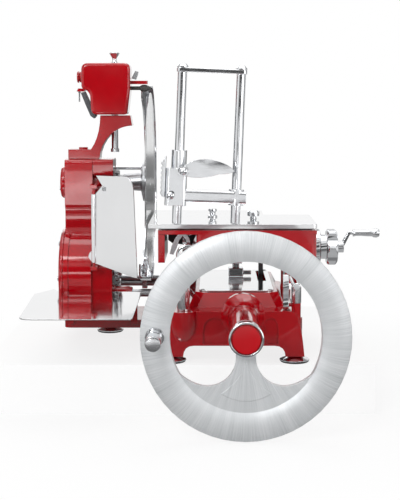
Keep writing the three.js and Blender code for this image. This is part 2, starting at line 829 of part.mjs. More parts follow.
// Roller chain: stops of the rollers, walked from the lowest point up one side and down the other
function chainStops() {
  const rise = bladeAxisZ - lowerAxisZ;
  const slant = Math.asin((lowerChainRadius - upperChainRadius) / rise);
  const straight = rise * Math.cos(slant);
  const lowerArc = (Math.PI / 2 + slant) * lowerChainRadius;
  const upperArc = (Math.PI / 2 - slant) * upperChainRadius;
  const half = lowerArc + straight + upperArc;
  const count = 2 * Math.round(half / chainPitch);
  const onArc = (radius, height, angle) => [radius * Math.cos(angle), height + radius * Math.sin(angle), angle];
  const spotAt = (path) => {
    if (path <= lowerArc) return onArc(lowerChainRadius, lowerAxisZ, path / lowerChainRadius - Math.PI / 2);
    if (path <= lowerArc + straight) {
      const share = (path - lowerArc) / straight;
      const radius = lowerChainRadius + (upperChainRadius - lowerChainRadius) * share;
      return onArc(radius, lowerAxisZ + rise * share, slant);
    }
    return onArc(upperChainRadius, bladeAxisZ, slant + (path - lowerArc - straight) / upperChainRadius);
  };
  const stops = [];
  for (let i = 0; i < count; i += 1) {
    const mirrored = i > count / 2;
    const [y, z, normal] = spotAt((2 * half * (mirrored ? count - i : i)) / count);
    stops.push(mirrored ? [-y, z, Math.PI - normal] : [y, z, normal]);
  }
  return stops;
}

function makeChain() {
  const stops = chainStops();
  const bends = stops.filter(([, z, normal], i) => {
    const before = stops.at(i - 1)[2];
    const after = stops[(i + 1) % stops.length][2];
    return Math.abs(normal - before) > 0.01 || Math.abs(after - normal) > 0.01 || z < lowerAxisZ;
  });
  const ring = (offset) =>
    bends.map(([y, z, normal]) => [y + offset * Math.cos(normal), z + offset * Math.sin(normal)]);
  const band = outline(ring(chainPlateHalf));
  band.holes.push(outline(ring(-chainPlateHalf)));
  const half = chainGapWidth / 2;
  const plates = [
    alongX(band, chainX - half - chainPlate, chainX - half),
    alongX(band, chainX + half, chainX + half + chainPlate),
  ];
  const roller = rod("x", rollerRadius, chainX - half - 0.5, chainX + half + 0.5, 4);
  return join(...plates, ...stops.map(([y, z]) => at(0, y, z, roller)));
}
addPart(base, "drive_chain", "steel", makeChain());

// Blade with its shaft and bush
const bladeProfile = [
  [bladeBackX, bladeShaftRadius + pressGap],
  [bladeBackX, bladeRadius - bladeBevel],
  [bladeFaceX - 0.6, bladeRadius],
  [bladeFaceX, bladeRadius],
  [bladeFaceX - 0.6, bladeRadius - 24],
  [bladeFaceX - 0.6, bladeShaftRadius + pressGap],
  [bladeBackX, bladeShaftRadius + pressGap],
];
addPart(blade, "blade", "polished", turned("x", bladeProfile, 54));

const flangeBackX = bladeBackX - seatGap;
const bladeHubProfile = [
  [chainX + 12, 0],
  [chainX + 12, 14],
  [flangeBackX - 14, 16],
  [flangeBackX - 10, 34],
  [flangeBackX, 34],
  [flangeBackX, 0],
];
const bladeShaft = join(
  rod("x", bladeShaftRadius, columnLeft + 8, bladeFaceX - 1, 16),
  turned("x", bladeHubProfile, 24),
);
addPart(blade, "blade_shaft", "steel", bladeShaft);

const upperChainWheel = chainWheel(upperChainTeeth, upperChainRadius, bladeShaftRadius, chainX + 11);
addPart(blade, "upper_chain_wheel", "steel", upperChainWheel);

const bladeBush = pipe("x", bladeBushRadius, bladeShaftRadius + runGap, columnLeft + 12, boxRight - 3, 16);
addPart(groupAt(base, 0, 0, bladeAxisZ), "blade_bush", "bronze", bladeBush);

// Guard ring: a channel round the blade's back, open towards the operator, with its stay and its low lug
function makeGuard() {
  const profile = [
    [guardLeft, guardInner],
    [guardLeft, guardRadius - 3],
    [guardLeft + 3, guardRadius],
    [guardRight, guardRadius],
    [guardRight, guardRadius - guardWall - 1],
    [guardLeft + guardWall + 2, guardRadius - guardWall - 1],
    [guardLeft + guardWall, guardRadius - guardWall - 3],
    [guardLeft + guardWall, guardInner],
    [guardLeft, guardInner],
  ];
  const far = guardRadius * 2;
  const ray = (angle) => [far * Math.cos(radians(angle)), far * Math.sin(radians(angle))];
  const mouth = outline([[0, 0], ray(guardTopDeg), [-far, far], [-far, -far], ray(guardLowDeg)]);
  const ring = cut(turned("x", profile, 54), alongX(mouth, guardLeft - 5, guardRight + 5));

  const band = rectangle(stayY - 6, stayRise - 6, guardInner + 3, stayRise + 6, 5);
  const arm = alongX(band, guardLeft, guardLeft + guardWall, 3);
  const stay = at(0, stayY, stayRise, rod("x", 3.4, boxRight + seatGap, guardLeft + 1, 12));
  const barDrop = barLowZ - bladeAxisZ;
  const lugShape = rectangle(barY - 12, barDrop - 9, barY + 12, 8 - guardInner, 5);
  const lug = alongX(lugShape, guardLeft, guardLeft + 9, 3);
  const bores = [0, 1].map((i) =>
    at(0, barY, barDrop + i * barSpacing, rod("x", barRadius + seatGap, guardLeft - 2, guardLeft + 12, 12)),
  );
  return cut(join(ring, arm, stay, lug), ...bores);
}
addPart(groupAt(base, 0, 0, bladeAxisZ), "blade_guard", "chrome", makeGuard());

const guardBars = [0, 1].map((i) =>
  at(0, barY, barLowZ + i * barSpacing, rod("x", barRadius, barLeft, baseLeft + 22, 12)),
);
addPart(base, "guard_bars", "chrome", join(...guardBars));

// Column: gear drum, waist, head with the blade bearing, and a low box with the two lower bearings
function neckOutline() {
  const round = 8;
  const shape = new THREE.Shape();
  shape.moveTo(-60, 150);
  shape.quadraticCurveTo(-waistHalf - 4, 172, -waistHalf, 196);
  shape.lineTo(-waistHalf, 216);
  shape.quadraticCurveTo(-waistHalf, headLow, -headHalf, headLow + 6);
  shape.lineTo(-headHalf, headTop - round);
  shape.quadraticCurveTo(-headHalf, headTop, -headHalf + round, headTop);
  shape.lineTo(headHalf - round, headTop);
  shape.quadraticCurveTo(headHalf, headTop, headHalf, headTop - round);
  shape.lineTo(headHalf, headLow + 6);
  shape.quadraticCurveTo(waistHalf, headLow, waistHalf, 216);
  shape.lineTo(waistHalf, 196);
  shape.quadraticCurveTo(waistHalf + 4, 172, 60, 150);
  return shape;
}

function makeColumn() {
  const roomRight = columnRight - columnWall;
  const onBladeAxis = (radius, from, to, sides) => at(0, 0, bladeAxisZ, rod("x", radius, from, to, sides));
  const onLowerAxis = (radius, from, to, sides) => at(0, 0, lowerAxisZ, rod("x", radius, from, to, sides));
  const onCrossAxis = (radius, from, to, sides) => at(0, crossAxisY, wheelAxisZ, rod("x", radius, from, to, sides));

  const flangeShape = beltOutline(0, lowerAxisZ, flangeRadius, crossAxisY, wheelAxisZ, flangeLobeRadius);
  const footShape = rectangle(3 - armHalfDepth, armTop + seatGap, 60, 100, 6);
  const boxShape = rectangle(boxFront, armTop + seatGap, boxBack, boxTop, 9);
  const shelfShape = rectangle(2 - headHalf, 284, headHalf - 2, headTop, 6);
  const outer = join(
    onLowerAxis(drumRadius, columnLeft + flangeWidth - 1, columnRight, 32),
    alongX(flangeShape, columnLeft, columnLeft + flangeWidth, 14),
    alongX(footShape, columnLeft + 6, columnRight, 3),
    alongX(neckOutline(), columnLeft, columnRight, 3),
    alongX(boxShape, columnRight - 4, boxRight, 3),
    onBladeAxis(snoutRadius, columnRight - 4, boxRight, 24),
    alongX(shelfShape, columnRight - 4, boxRight, 3),
    block(hingeX - 6, hingeX + 6, hingeY - 6, -12, 266, 272),
    block(hingeX - 6, hingeX + 6, hingeY - 6, boxFront + 4, 125, 131),
  );

  // Rooms: the gears at the left, a core through the neck, the space under the low box
  const gearSpace = beltOutline(0, lowerAxisZ, gearRoom, crossAxisY, wheelAxisZ, gearLobeRoom);
  const coreShape = rectangle(columnWall - waistHalf, 160, waistHalf - columnWall, headTop - 9, 6);
  const core = cut(
    alongX(coreShape, columnLeft + 8, roomRight, 3),
    onBladeAxis(bladeBushRadius + 7, columnLeft, columnRight, 16),
  );
  const underBoxShape = rectangle(boxFront + 7, armTop - 4, boxBack - 7, 62, 6);
  const underBox = alongX(underBoxShape, columnRight - 12, boxRight - 7, 3);
  const shell = cut(outer, alongX(gearSpace, columnLeft - 1, roomRight, 12), core, underBox);

  const bores = [
    onCrossAxis(crossShaftRadius + runGap, roomRight - 14, boxRight + 5, 16),
    onLowerAxis(lowerShaftRadius + runGap, roomRight - 14, boxRight + 5, 16),
    onBladeAxis(bladeBushRadius + pressGap, columnLeft + 6, boxRight + 5, 16),
    onBladeAxis(20, columnLeft - 1, columnLeft + 11.5, 16),
  ];
  const bearing = onCrossAxis(bearingRadius, roomRight - 7, boxRight - 2, 16);
  const hingeRod = at(hingeX, hingeY, 0, rod("z", hingeRodRadius, 126, 271, 12));
  return join(cut(join(shell, bearing), ...bores), hingeRod);
}
addPart(base, "column", "red", makeColumn());

const coverRight = columnLeft - seatGap;
function makeLowerCover() {
  const left = coverRight - lowerCoverWidth;
  const shape = (inset) =>
    beltOutline(0, lowerAxisZ, flangeRadius - inset, crossAxisY, wheelAxisZ, flangeLobeRadius - inset);
  const plate = join(alongX(shape(0), left + 2.5, coverRight, 14), alongX(shape(3), left, left + 4, 14));
  return cut(plate, alongX(shape(11), left + 3, coverRight + 1, 10));
}
addPart(base, "lower_cover", "red", makeLowerCover());

const upperCoverProfile = [
  [coverRight, 0],
  [coverRight, upperCoverRadius],
  [coverRight - upperCoverWidth + 3, upperCoverRadius],
  [coverRight - upperCoverWidth, upperCoverRadius - 3],
  [coverRight - upperCoverWidth, 0],
];
addPart(groupAt(base, 0, 0, bladeAxisZ), "upper_cover", "red", turned("x", upperCoverProfile, 32));

// Carriage rails, each in one piece with its front post
function makeRail(x, postRadius, postLow) {
  const profile = [
    [railFront, 0],
    [railFront, railRadius - 1],
    [railFront + 1, railRadius],
    [railBack - 1, railRadius],
    [railBack, railRadius - 1],
    [railBack, 0],
  ];
  const post = rod("z", postRadius, postLow, railZ - 1, 16);
  return join(at(x, 0, railZ, turned("y", profile, 16)), at(x, frontPostY, 0, post));
}
addPart(base, "left_rail", "chrome", makeRail(leftRailX, leftPostRadius, baseTop + seatGap));
addPart(base, "right_rail", "chrome", makeRail(rightRailX, rightPostRadius, redPostTop + seatGap));

// Rocker: pivots low in the base, its slot takes the crank pin and its tip drives the carriage
function makeRocker() {
  const middle = wheelAxisZ - rockerPivotZ;
  const slotLow = middle - crankRadius - crankPinRadius - 0.2;
  const slotTop = middle + crankRadius + crankPinRadius + 1;
  const slotSide = crankPinRadius + 0.4;
  const shape = new THREE.Shape();
  shape.absarc(0, 0, rockerHalf, Math.PI, 2 * Math.PI, false);
  shape.lineTo(rockerHalf, slotTop - 3);
  shape.quadraticCurveTo(rockerHalf - 1, slotTop + 8, rockerNeckHalf, slotTop + 12);
  shape.lineTo(rockerNeckHalf, rockerReach);
  shape.lineTo(-rockerNeckHalf, rockerReach);
  shape.lineTo(-rockerNeckHalf, slotTop + 12);
  shape.quadraticCurveTo(1 - rockerHalf, slotTop + 8, -rockerHalf, slotTop - 3);
  const slot = rectangle(-slotSide, slotLow, slotSide, slotTop, slotSide - 0.01);
  const tip = rod("x", rockerTipRadius, rockerX - 1.5, rockerX + rockerWidth + 1.5, 16);
  const bore = rod("x", rockerPinRadius + runGap, rockerX - 2, rockerX + rockerWidth + 2, 16);
  const bar = join(alongX(shape, rockerX, rockerX + rockerWidth, 4), at(0, 0, rockerReach, tip));
  return cut(bar, alongX(slot, rockerX - 2, rockerX + rockerWidth + 2, 4), bore);
}
addPart(rocker, "rocker_arm", "iron", makeRocker());

// Carriage: top plate, hollow body on the right, a narrow leg on the left
function makeCarriage() {
  const top = block(legLeft, carriageRight, carriageFront, carriageBack, carriageRoof, carriageTop);
  const bodyShape = rectangle(carriageLeft, carriageFront, carriageRight, carriageBack, 8);
  const room = block(
    carriageLeft + carriageWall,
    carriageRight - carriageWall,
    carriageFront + carriageWall,
    carriageBack - carriageWall,
    carriageBottom - 1,
    carriageRoof,
  );
  const leg = block(legLeft, legRight, carriageFront + 2, -30, 149, carriageRoof + 1);
  const hollow = cut(join(top, alongZ(bodyShape, carriageBottom, carriageRoof + 1, 4), leg), room);

  const screwLine = (radius, from, to) => at(0, feedY, feedZ, rod("x", radius, from, to, 16));
  const bearing = join(
    block(rightRailX - 10.5, rightRailX + 10.5, slideFront, slideBack, slideLow, slideTop),
    block(rightRailX, carriageRight - carriageWall + 1, slideFront, slideBack, carriageBottom, slideTop),
    screwLine(11, carriageLeft + 1, screwLeft + 9),
  );
  const railBore = at(rightRailX, 0, railZ, rod("y", railRadius + runGap, slideFront - 1, slideBack + 1, 16));
  const nutSlot = block(
    screwLeft + 5,
    screwLeft + 27 + tableTravel,
    feedY - 7,
    feedY + 7,
    carriageRoof - 2,
    carriageTop + 2,
  );
  return cut(
    join(hollow, bearing),
    railBore,
    nutSlot,
    screwLine(screwRadius + runGap, screwLeft - 1, screwLeft + 12),
    screwLine(screwRadius + runGap, rightRailX - 14, carriageRight + 2),
  );
}
addPart(carriage, "carriage_body", "red", makeCarriage());

// Bracket that carries the carriage on the left rail
function makeLeftSlider() {
  const top = carriageRoof - seatGap;
  const middle = (slideFront + slideBack) / 2;
  const shape = outline([
    [slideFront, slideLow],
    [slideBack, slideLow],
    [slideBack, 132],
    [slideBack - 18, top],
    [slideFront + 18, top],
    [slideFront, 132],
  ]);
  const opening = outline([
    [middle - 12, 144],
    [middle + 12, 144],
    [middle + 5, 176],
    [middle - 5, 176],
  ]);
  const bracket = join(
    alongX(shape, leftRailX - 4.5, leftRailX + 4.5),
    block(leftRailX - 10.5, leftRailX + 10.5, slideFront, slideBack, slideLow, 134),
    block(leftRailX - 10.5, leftRailX + 10.5, slideFront + 16, slideBack - 16, 188, top),
  );
  const bore = at(leftRailX, 0, railZ, rod("y", railRadius + runGap, slideFront - 1, slideBack + 1, 16));
  return cut(bracket, bore, alongX(opening, leftRailX - 6, leftRailX + 6));
}
addPart(carriage, "left_slider", "chrome", makeLeftSlider());

// Fork that takes the rocker's tip, with the clamp block over the drip plate
function makeFork() {
  const jawInner = rockerTipRadius + rockerSlack;
  const jawOuter = jawInner + 4;
  const top = carriageRoof - seatGap;
  const clampLow = deckTop + plateThickness + seatGap + freeGap;
  const bar = (x0, x1, half, z0, z1) => block(x0, x1, crossAxisY - half, crossAxisY + half, z0, z1);
  return join(
    block(slotLeft - 1, slotRight + 1, crossAxisY - jawOuter, crossAxisY - jawInner, forkLow, top),
    block(slotLeft - 1, slotRight + 1, crossAxisY + jawInner, crossAxisY + jawOuter, forkLow, top),
    bar(-6, slotRight + 1, jawOuter, top - 6, top),
    bar(-20, 6, 12, clampLow, clampLow + 14),
    bar(-13, -1, 7, clampLow + 10, top),
    bar(5, 20, 5, clampLow + 2, clampLow + 9),
    bar(-18, 4, 10, clampLow + 22, clampLow + 36),
  );
}
addPart(carriage, "drive_fork", "chrome", makeFork());

// Feed dial, thickness knob, feed screw and its crank
const dialLeft = carriageRight + seatGap;
const dialRight = dialLeft + dialWidth;
const dialProfile = [
  [dialLeft, screwRadius + runGap],
  [dialLeft, dialRadius],
  [dialRight - 2, dialRadius],
  [dialRight, dialRadius - 2],
  [dialRight, neckRadius],
  [dialRight + neckWidth, neckRadius],
  [dialRight + neckWidth, screwRadius + runGap],
  [dialLeft, screwRadius + runGap],
];
addPart(groupAt(carriage, 0, feedY, feedZ), "feed_dial", "chrome", turned("x", dialProfile, 32));

const starLeft = dialRight + neckWidth + seatGap;
function makeStarKnob() {
  const steps = starLobes * 8;
  const points = [];
  for (let i = 0; i < steps; i += 1) {
    const angle = (2 * Math.PI * i) / steps;
    const radius = starRadius - starDepth + starDepth * Math.cos(starLobes * angle);
    points.push([radius * Math.cos(angle), radius * Math.sin(angle)]);
  }
  const crownProfile = [
    [starLeft - 1, 0],
    [starLeft - 1, starRadius - 5],
    [starLeft + 4, starRadius + 1],
    [starLeft + starWidth - 5, starRadius + 1],
    [starLeft + starWidth, starRadius - 6],
    [starLeft + starWidth + 1, 0],
  ];
  const lobes = alongX(outline(points), starLeft, starLeft + starWidth);
  const bore = rod("x", screwRadius + runGap, starLeft - 2, starLeft + starWidth + 2, 16);
  return cut(lobes.intersect(turned("x", crownProfile, 24)), bore);
}
addPart(groupAt(slicer, 0, feedY, feedZ), "star_knob", "chrome", makeStarKnob());

const feedCrankLeft = starLeft + starWidth + 1.5;
const feedGripLeft = feedCrankLeft + feedSlope + 12.5;
addPart(feed, "feed_screw", "steel", rod("x", screwRadius, screwLeft, feedCrankLeft + 7, 16));

function makeFeedCrank() {
  const arm = extruded(beltOutline(0, 0, 7, 0, feedThrow, 5), 5, 6);
  const spot = arm.attributes.position;
  for (let i = 0; i < spot.count; i += 1) {
    const rise = spot.getY(i);
    const shift = (feedSlope * Math.max(rise, 0)) / feedThrow;
    spot.setXYZ(i, feedCrankLeft + 3 + spot.getZ(i) + shift, spot.getX(i), rise);
  }
  const hub = rod("x", 10, feedCrankLeft, feedCrankLeft + 10, 16);
  const pin = at(0, 0, feedThrow, rod("x", 3, feedCrankLeft + feedSlope + 4, feedGripLeft + 43, 12));
  const bore = rod("x", screwRadius + pressGap, feedCrankLeft - 1, feedCrankLeft + 7 + seatGap, 16);
  return cut(join(hub, solidOf(arm), pin), bore);
}
addPart(feed, "feed_crank", "chrome", makeFeedCrank());

const feedGripProfile = [
  [feedGripLeft, 3 + seatGap],
  [feedGripLeft, 6.4],
  [feedGripLeft + 5, 5.2],
  [feedGripLeft + 14, 5],
  [feedGripLeft + 24, 5.8],
  [feedGripLeft + 33, 6],
  [feedGripLeft + 36, 7.8],
  [feedGripLeft + 41, 8],
  [feedGripLeft + 45, 6],
  [feedGripLeft + 46, 0],
  [feedGripLeft + 44, 0],
  [feedGripLeft + 44, 3 + seatGap],
  [feedGripLeft, 3 + seatGap],
];
const feedGripGroup = groupAt(slicer, 0, feedY, feedZ + feedThrow);
addPart(feedGripGroup, "feed_grip", "polished", turned("x", feedGripProfile, 16));

// Meat table, with runners and the half nut that the feed screw pushes
function makeTable() {
  const round = 8;
  const shape = new THREE.Shape();
  shape.moveTo(tableLeft, tableFront);
  shape.lineTo(carriageRight - round, tableFront);
  shape.quadraticCurveTo(carriageRight, tableFront, carriageRight, tableFront + round);
  shape.lineTo(carriageRight, tableSideBack - round);
  shape.quadraticCurveTo(carriageRight, tableSideBack, carriageRight - round, tableSideBack);
  shape.lineTo(tableStep, tableSideBack);
  shape.lineTo(tableStep, tableBack - round);
  shape.quadraticCurveTo(tableStep, tableBack, tableStep - round, tableBack);
  shape.lineTo(tableLeft, tableBack);
  const runners = [-158, -40].map((y) =>
    block(legLeft + 4, carriageRight - 6, y, y + 12, carriageTop + seatGap, tableLow + 1),
  );
  const nutLow = feedZ + screwRadius + seatGap;
  const nutLug = block(screwLeft + 10, screwLeft + 26, feedY - 6, feedY + 6, nutLow, tableLow + 1);
  const studHoles = [0, uprightPitch].map((x) =>
    at(uprightX + x, uprightY, 0, rod("z", studRadius + 1, tableLow - 5, tableTop + 1, 16)),
  );
  const screwHoles = [tablePin, tableKnob].map(([x, y]) =>
    at(x, y, 0, rod("z", 3 + pressGap, carriageTop, tableTop + 1, 12)),
  );
  return cut(join(alongZ(shape, tableLow, tableTop, 4), ...runners, nutLug), ...studHoles, ...screwHoles);
}
addPart(table, "meat_table", "polished", makeTable());

const tablePinProfile = [
  [tableLow + 1, 0],
  [tableLow + 1, 3],
  [tableTop + seatGap, 3],
  [tableTop + seatGap, 8.5],
  [tableTop + 2.5, 8.5],
  [tableTop + 4, 5],
  [tableTop + 8, 5.5],
  [tableTop + 10, 7.5],
  [tableTop + 14, 7],
  [tableTop + 15, 0],
];
addPart(groupAt(table, ...tablePin, 0), "table_pin", "chrome", turned("z", tablePinProfile, 16));

const tableKnobProfile = [
  [tableLow + 1, 0],
  [tableLow + 1, 3],
  [tableTop + seatGap, 3],
  [tableTop + seatGap, 6],
  [tableTop + 4, 5],
  [tableTop + 5, 10.5],
  [tableTop + 12, 10.5],
  [tableTop + 14, 8.5],
  [tableTop + 14, 0],
];
addPart(groupAt(table, ...tableKnob, 0), "table_knob", "chrome", turned("z", tableKnobProfile, 20));

// Uprights with their cap nuts, and the flat bar between them; the right foot sits higher in the leaning frame
const crossbarTop = crossbarLow + crossbarHeight;
const rightFootRise = uprightPitch * Math.sin(radians(leanDeg));
const uprightProfile = (foot) => [
  [foot - 6, 0],
  [foot - 6, studRadius],
  [foot + 0.8, studRadius],
  [foot + 0.8, uprightRadius],
  [crossbarLow - seatGap, uprightRadius],
  [crossbarLow - seatGap, studRadius],
  [crossbarTop + seatGap, studRadius],
  [crossbarTop + seatGap, 9.5],
  [crossbarTop + 2.5, 9.5],
  [crossbarTop + 6.5, 6],
  [crossbarTop + 7.5, 0],
];
const leftUpright = turned("z", uprightProfile(0), 16);
const rightUpright = turned("z", uprightProfile(rightFootRise), 16);
addPart(groupAt(lean, 0, 0, 0), "upright_left", "chrome", leftUpright);
addPart(groupAt(lean, uprightPitch, 0, 0), "upright_right", "chrome", rightUpright);

function makeCrossbar() {
  const bar = alongZ(rectangle(-9.5, -8, uprightPitch + 9.5, 8, 7), crossbarLow, crossbarTop, 4);
  const hole = rod("z", studRadius + seatGap, crossbarLow - 1, crossbarTop + 1, 16);
  return cut(bar, hole, at(uprightPitch, 0, 0, hole));
}
addPart(lean, "crossbar", "chrome", makeCrossbar());

// Food press on the uprights
function makePressBeam() {
  const bar = rectangle(-beamHalfDepth, beamLow, beamHalfDepth, beamTop, 5);
  const bore = rod("z", uprightRadius + runGap, 20, sleeveTop + 5, 16);
  const solid = join(
    alongX(bar, -14, uprightPitch + 16, 3),
    alongZ(rectangle(guideLeft, -14, 14, 14, 6), beamLow - 6, sleeveTop - 30, 3),
    rod("z", 12.5, sleeveTop - 32, sleeveTop, 20),
    at(uprightPitch, 0, 0, rod("z", 12.5, beamLow - 2, beamTop + 3, 20)),
    at(leafPivotX, 0, leafPivotZ, rod("y", 4, -24, -10, 12)),
  );
  return cut(solid, bore, at(uprightPitch, 0, 0, bore));
}
addPart(press, "press_beam", "chrome", makePressBeam());

function makeGripPlate() {
  const teeth = 7;
  const pitch = 8;
  const right = guideLeft - seatGap;
  const tip = right - 7.7;
  const points = [
    [right, 44],
    [right, 112],
  ];
  for (let i = teeth; i > 0; i -= 1) {
    points.push([tip + 3, 48 + i * pitch], [tip, 48 + (i - 0.5) * pitch]);
  }
  points.push([tip + 3, 46]);
  return alongY(outline(points), -16, 16);
}
addPart(press, "grip_plate", "chrome", makeGripPlate());

function makeLeaf() {
  const shape = new THREE.Shape();
  shape.moveTo(-9, -6);
  shape.quadraticCurveTo(2, 20, 36, 22);
  shape.quadraticCurveTo(70, 20, 84, 4);
  shape.quadraticCurveTo(76, -2, 58, -2);
  shape.quadraticCurveTo(40, -10, 14, -9);
  const leaf = join(alongY(shape, -21, -15, 6), rod("y", 9, -22, -14.5, 16));
  return cut(leaf, rod("y", 4 + runGap, -30, -10, 12));
}
const leafGroup = groupAt(press, leafPivotX, 0, leafPivotZ);
addPart(leafGroup, "press_lever", "chrome", makeLeaf());

// Receiving tray and slice deflector
function makeTray() {
  const shape = new THREE.Shape();
  shape.moveTo(-343, -310);
  shape.quadraticCurveTo(-345, -338, -322, -338);
  shape.lineTo(-176, -338);
  shape.quadraticCurveTo(-170, -338, -170, -332);
  shape.lineTo(-170, -100);
  shape.quadraticCurveTo(-170, -84, -186, -84);
  shape.lineTo(-312, -84);
  shape.lineTo(-326, -58);
  shape.lineTo(-352, -108);
  return alongZ(shape, trayLow, trayTop, 5);
}
addPart(groupAt(slicer, 0, 0, 0), "receiving_tray", "polished", makeTray());

function makeDeflector() {
  const along = (x) => (x - hingeX) / Math.cos(radians(deflectorDeg));
  const shape = new THREE.Shape();
  shape.moveTo(along(-247), 288);
  shape.lineTo(along(-236), 271);
  shape.lineTo(along(-247), 258);
  shape.lineTo(along(-248), 163);
  shape.quadraticCurveTo(along(-262), 156, along(-262), 147);
  shape.quadraticCurveTo(along(-258), 138, along(-248), 136);
  shape.lineTo(along(-184), 118);
  shape.lineTo(along(-175), 117);
  shape.lineTo(along(-181), 268);
  shape.quadraticCurveTo(along(-184), 286, along(-194.5), 288);
  const half = deflectorThickness / 2;
  const sheet = join(alongY(shape, -half, half, 5), rod("z", hingeBarrelRadius, 138, 256, 16));
  return cut(sheet, rod("z", hingeRodRadius + seatGap, 120, 300, 12));
}
addPart(deflector, "deflector_plate", "polished", makeDeflector());

// Sharpener: curved arm on the column, lifting spindle, red head with button and stone
function makeSharpenerArm() {
  const shape = new THREE.Shape();
  shape.moveTo(-303, headTop + seatGap);
  shape.lineTo(-248, headTop + seatGap);
  shape.quadraticCurveTo(-246, 345, -218, 364);
  shape.quadraticCurveTo(-206, 371, -190, 372);
  shape.lineTo(-193, armBlockTop);
  shape.lineTo(-246, armBlockTop);
  shape.quadraticCurveTo(-247, 352, -263, armFootTop);
  shape.lineTo(-303, armFootTop);
  const screw = at(-278, 0, 0, rod("z", 9, armFootTop - 1, armFootTop + 3.5, 6));
  const bore = at(spindleX, 0, 0, rod("z", spindleRadius + runGap, 340, armBlockTop + 2, 16));
  return cut(join(alongY(shape, -sharpenerArmHalf, sharpenerArmHalf, 5), screw), bore);
}
addPart(base, "sharpener_arm", "red", makeSharpenerArm());

const spindleProfile = [
  [325, 0],
  [325, spindleRadius + 1.5],
  [331, spindleRadius + 1.5],
  [331, spindleRadius],
  [headPieceTop + 1, spindleRadius],
  [headPieceTop + 4, 4],
  [headPieceTop + 9, 4],
  [headPieceTop + 17, 9],
  [headPieceTop + 18.5, 9],
  [headPieceTop + 13, 0],
];
addPart(sharpener, "sharpener_spindle", "chrome", turned("z", spindleProfile, 16));

const headLeft = headPieceLeft - spindleX;
const headRight = headPieceRight - spindleX;
function makeSharpenerHead() {
  const shape = new THREE.Shape();
  shape.moveTo(-30, headPieceLow);
  shape.lineTo(18, headPieceLow);
  shape.quadraticCurveTo(25, headPieceLow, 25, headPieceLow + 8);
  shape.lineTo(headRight, 436);
  shape.lineTo(headRight, headPieceTop - 11);
  shape.quadraticCurveTo(headRight, headPieceTop, headRight - 11, headPieceTop);
  shape.lineTo(headLeft + 12, headPieceTop);
  shape.quadraticCurveTo(headLeft, headPieceTop, headLeft, headPieceTop - 12);
  shape.lineTo(headLeft, 437);
  shape.quadraticCurveTo(-44, 436, -41, 424);
  shape.lineTo(-40, 402);
  shape.quadraticCurveTo(-39, headPieceLow, -30, headPieceLow);
  const wall = 6;
  const inner = headPieceHalf - wall;
  const shell = cut(
    alongY(shape, -headPieceHalf, headPieceHalf, 4),
    block(-34, 19, -inner, inner, headPieceLow - 2, 428),
  );
  const lineX = (z, radius, from, to, sides) => at(0, 0, z, rod("x", radius, from, to, sides));
  const added = join(
    shell,
    rod("z", spindleRadius + 8, headPieceLow + 4, 436, 16),
    lineX(buttonZ, 12.5, headLeft - 1.5, headLeft + 2, 20),
    alongZ(rectangle(headRight - 4, -7, 59, 7, 3), 445, 451, 3),
  );
  return cut(
    added,
    rod("z", spindleRadius + runGap, headPieceLow - 2, headPieceTop + 2, 16),
    lineX(buttonZ, 8, headLeft - 5, headLeft + 12, 16),
    lineX(stoneZ, stoneSpindleRadius + 0.2, 14, 40, 12),
  );
}
addPart(sharpener, "sharpener_head", "red", makeSharpenerHead());

const buttonProfile = [
  [headLeft - 9.5, 0],
  [headLeft - 9.5, 9.5],
  [headLeft - 8.5, 10.5],
  [headLeft - 6, 10.5],
  [headLeft - 6, 7.8],
  [headLeft + 6, 7.8],
  [headLeft + 6, 0],
];
addPart(groupAt(slicer, spindleX, 0, buttonZ), "push_button", "red", turned("x", buttonProfile, 18));

const stoneProfile = [
  [18, 0],
  [18, stoneSpindleRadius],
  [45, stoneSpindleRadius],
  [47, stoneRadius - 1],
  [50, stoneRadius],
  [56, stoneRadius],
  [65, 1.5],
  [65.5, 0],
];
addPart(groupAt(slicer, spindleX, 0, stoneZ), "grind_stone", "stone", turned("x", stoneProfile, 12));

// Carriage lock lever beside the front right post
function makeLever() {
  const shape = new THREE.Shape();
  shape.absarc(0, 0, 7, Math.PI, 2 * Math.PI, false);
  shape.quadraticCurveTo(8, 14, -2, 26);
  shape.quadraticCurveTo(-8, 36, 2, 49);
  shape.lineTo(-5, 49);
  shape.quadraticCurveTo(-17, 36, -11, 24);
  shape.quadraticCurveTo(-4, 12, -7, 0);
  return cut(alongX(shape, leverLeft, leverRight, 6), rod("x", 3 + runGap, leverLeft - 1, leverRight + 1, 12));
}
addPart(lever, "lock_lever", "chrome", makeLever());

export default slicer;
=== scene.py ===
import json
import math

import bmesh
import bpy
from mathutils import Matrix, Vector


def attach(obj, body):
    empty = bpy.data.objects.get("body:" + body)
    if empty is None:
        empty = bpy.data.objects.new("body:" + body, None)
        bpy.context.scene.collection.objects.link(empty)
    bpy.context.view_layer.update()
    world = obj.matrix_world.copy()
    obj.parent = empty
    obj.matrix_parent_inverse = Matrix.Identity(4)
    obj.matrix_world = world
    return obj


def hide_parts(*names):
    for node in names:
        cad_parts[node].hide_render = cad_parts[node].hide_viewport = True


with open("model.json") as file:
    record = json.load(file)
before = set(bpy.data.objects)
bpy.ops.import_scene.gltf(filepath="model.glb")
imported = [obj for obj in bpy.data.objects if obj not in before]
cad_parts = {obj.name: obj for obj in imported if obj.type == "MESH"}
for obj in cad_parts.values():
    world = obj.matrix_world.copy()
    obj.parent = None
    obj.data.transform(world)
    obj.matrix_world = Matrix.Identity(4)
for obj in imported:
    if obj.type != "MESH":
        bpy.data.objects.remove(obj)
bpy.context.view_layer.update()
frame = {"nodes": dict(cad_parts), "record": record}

behaviour = frame["record"]["behaviour"]
bodyOf = {node: body for body, nodes in behaviour["bodies"].items() for node in nodes}
slotOf = {part["node"]: part["material_slot"] for part in frame["record"]["subparts"]}
pivot = {joint["name"]: joint["pos_m"] for joint in behaviour["joints"] if "pos_m" in joint}
wheelAxisZ = pivot["wheel_spin"][2]
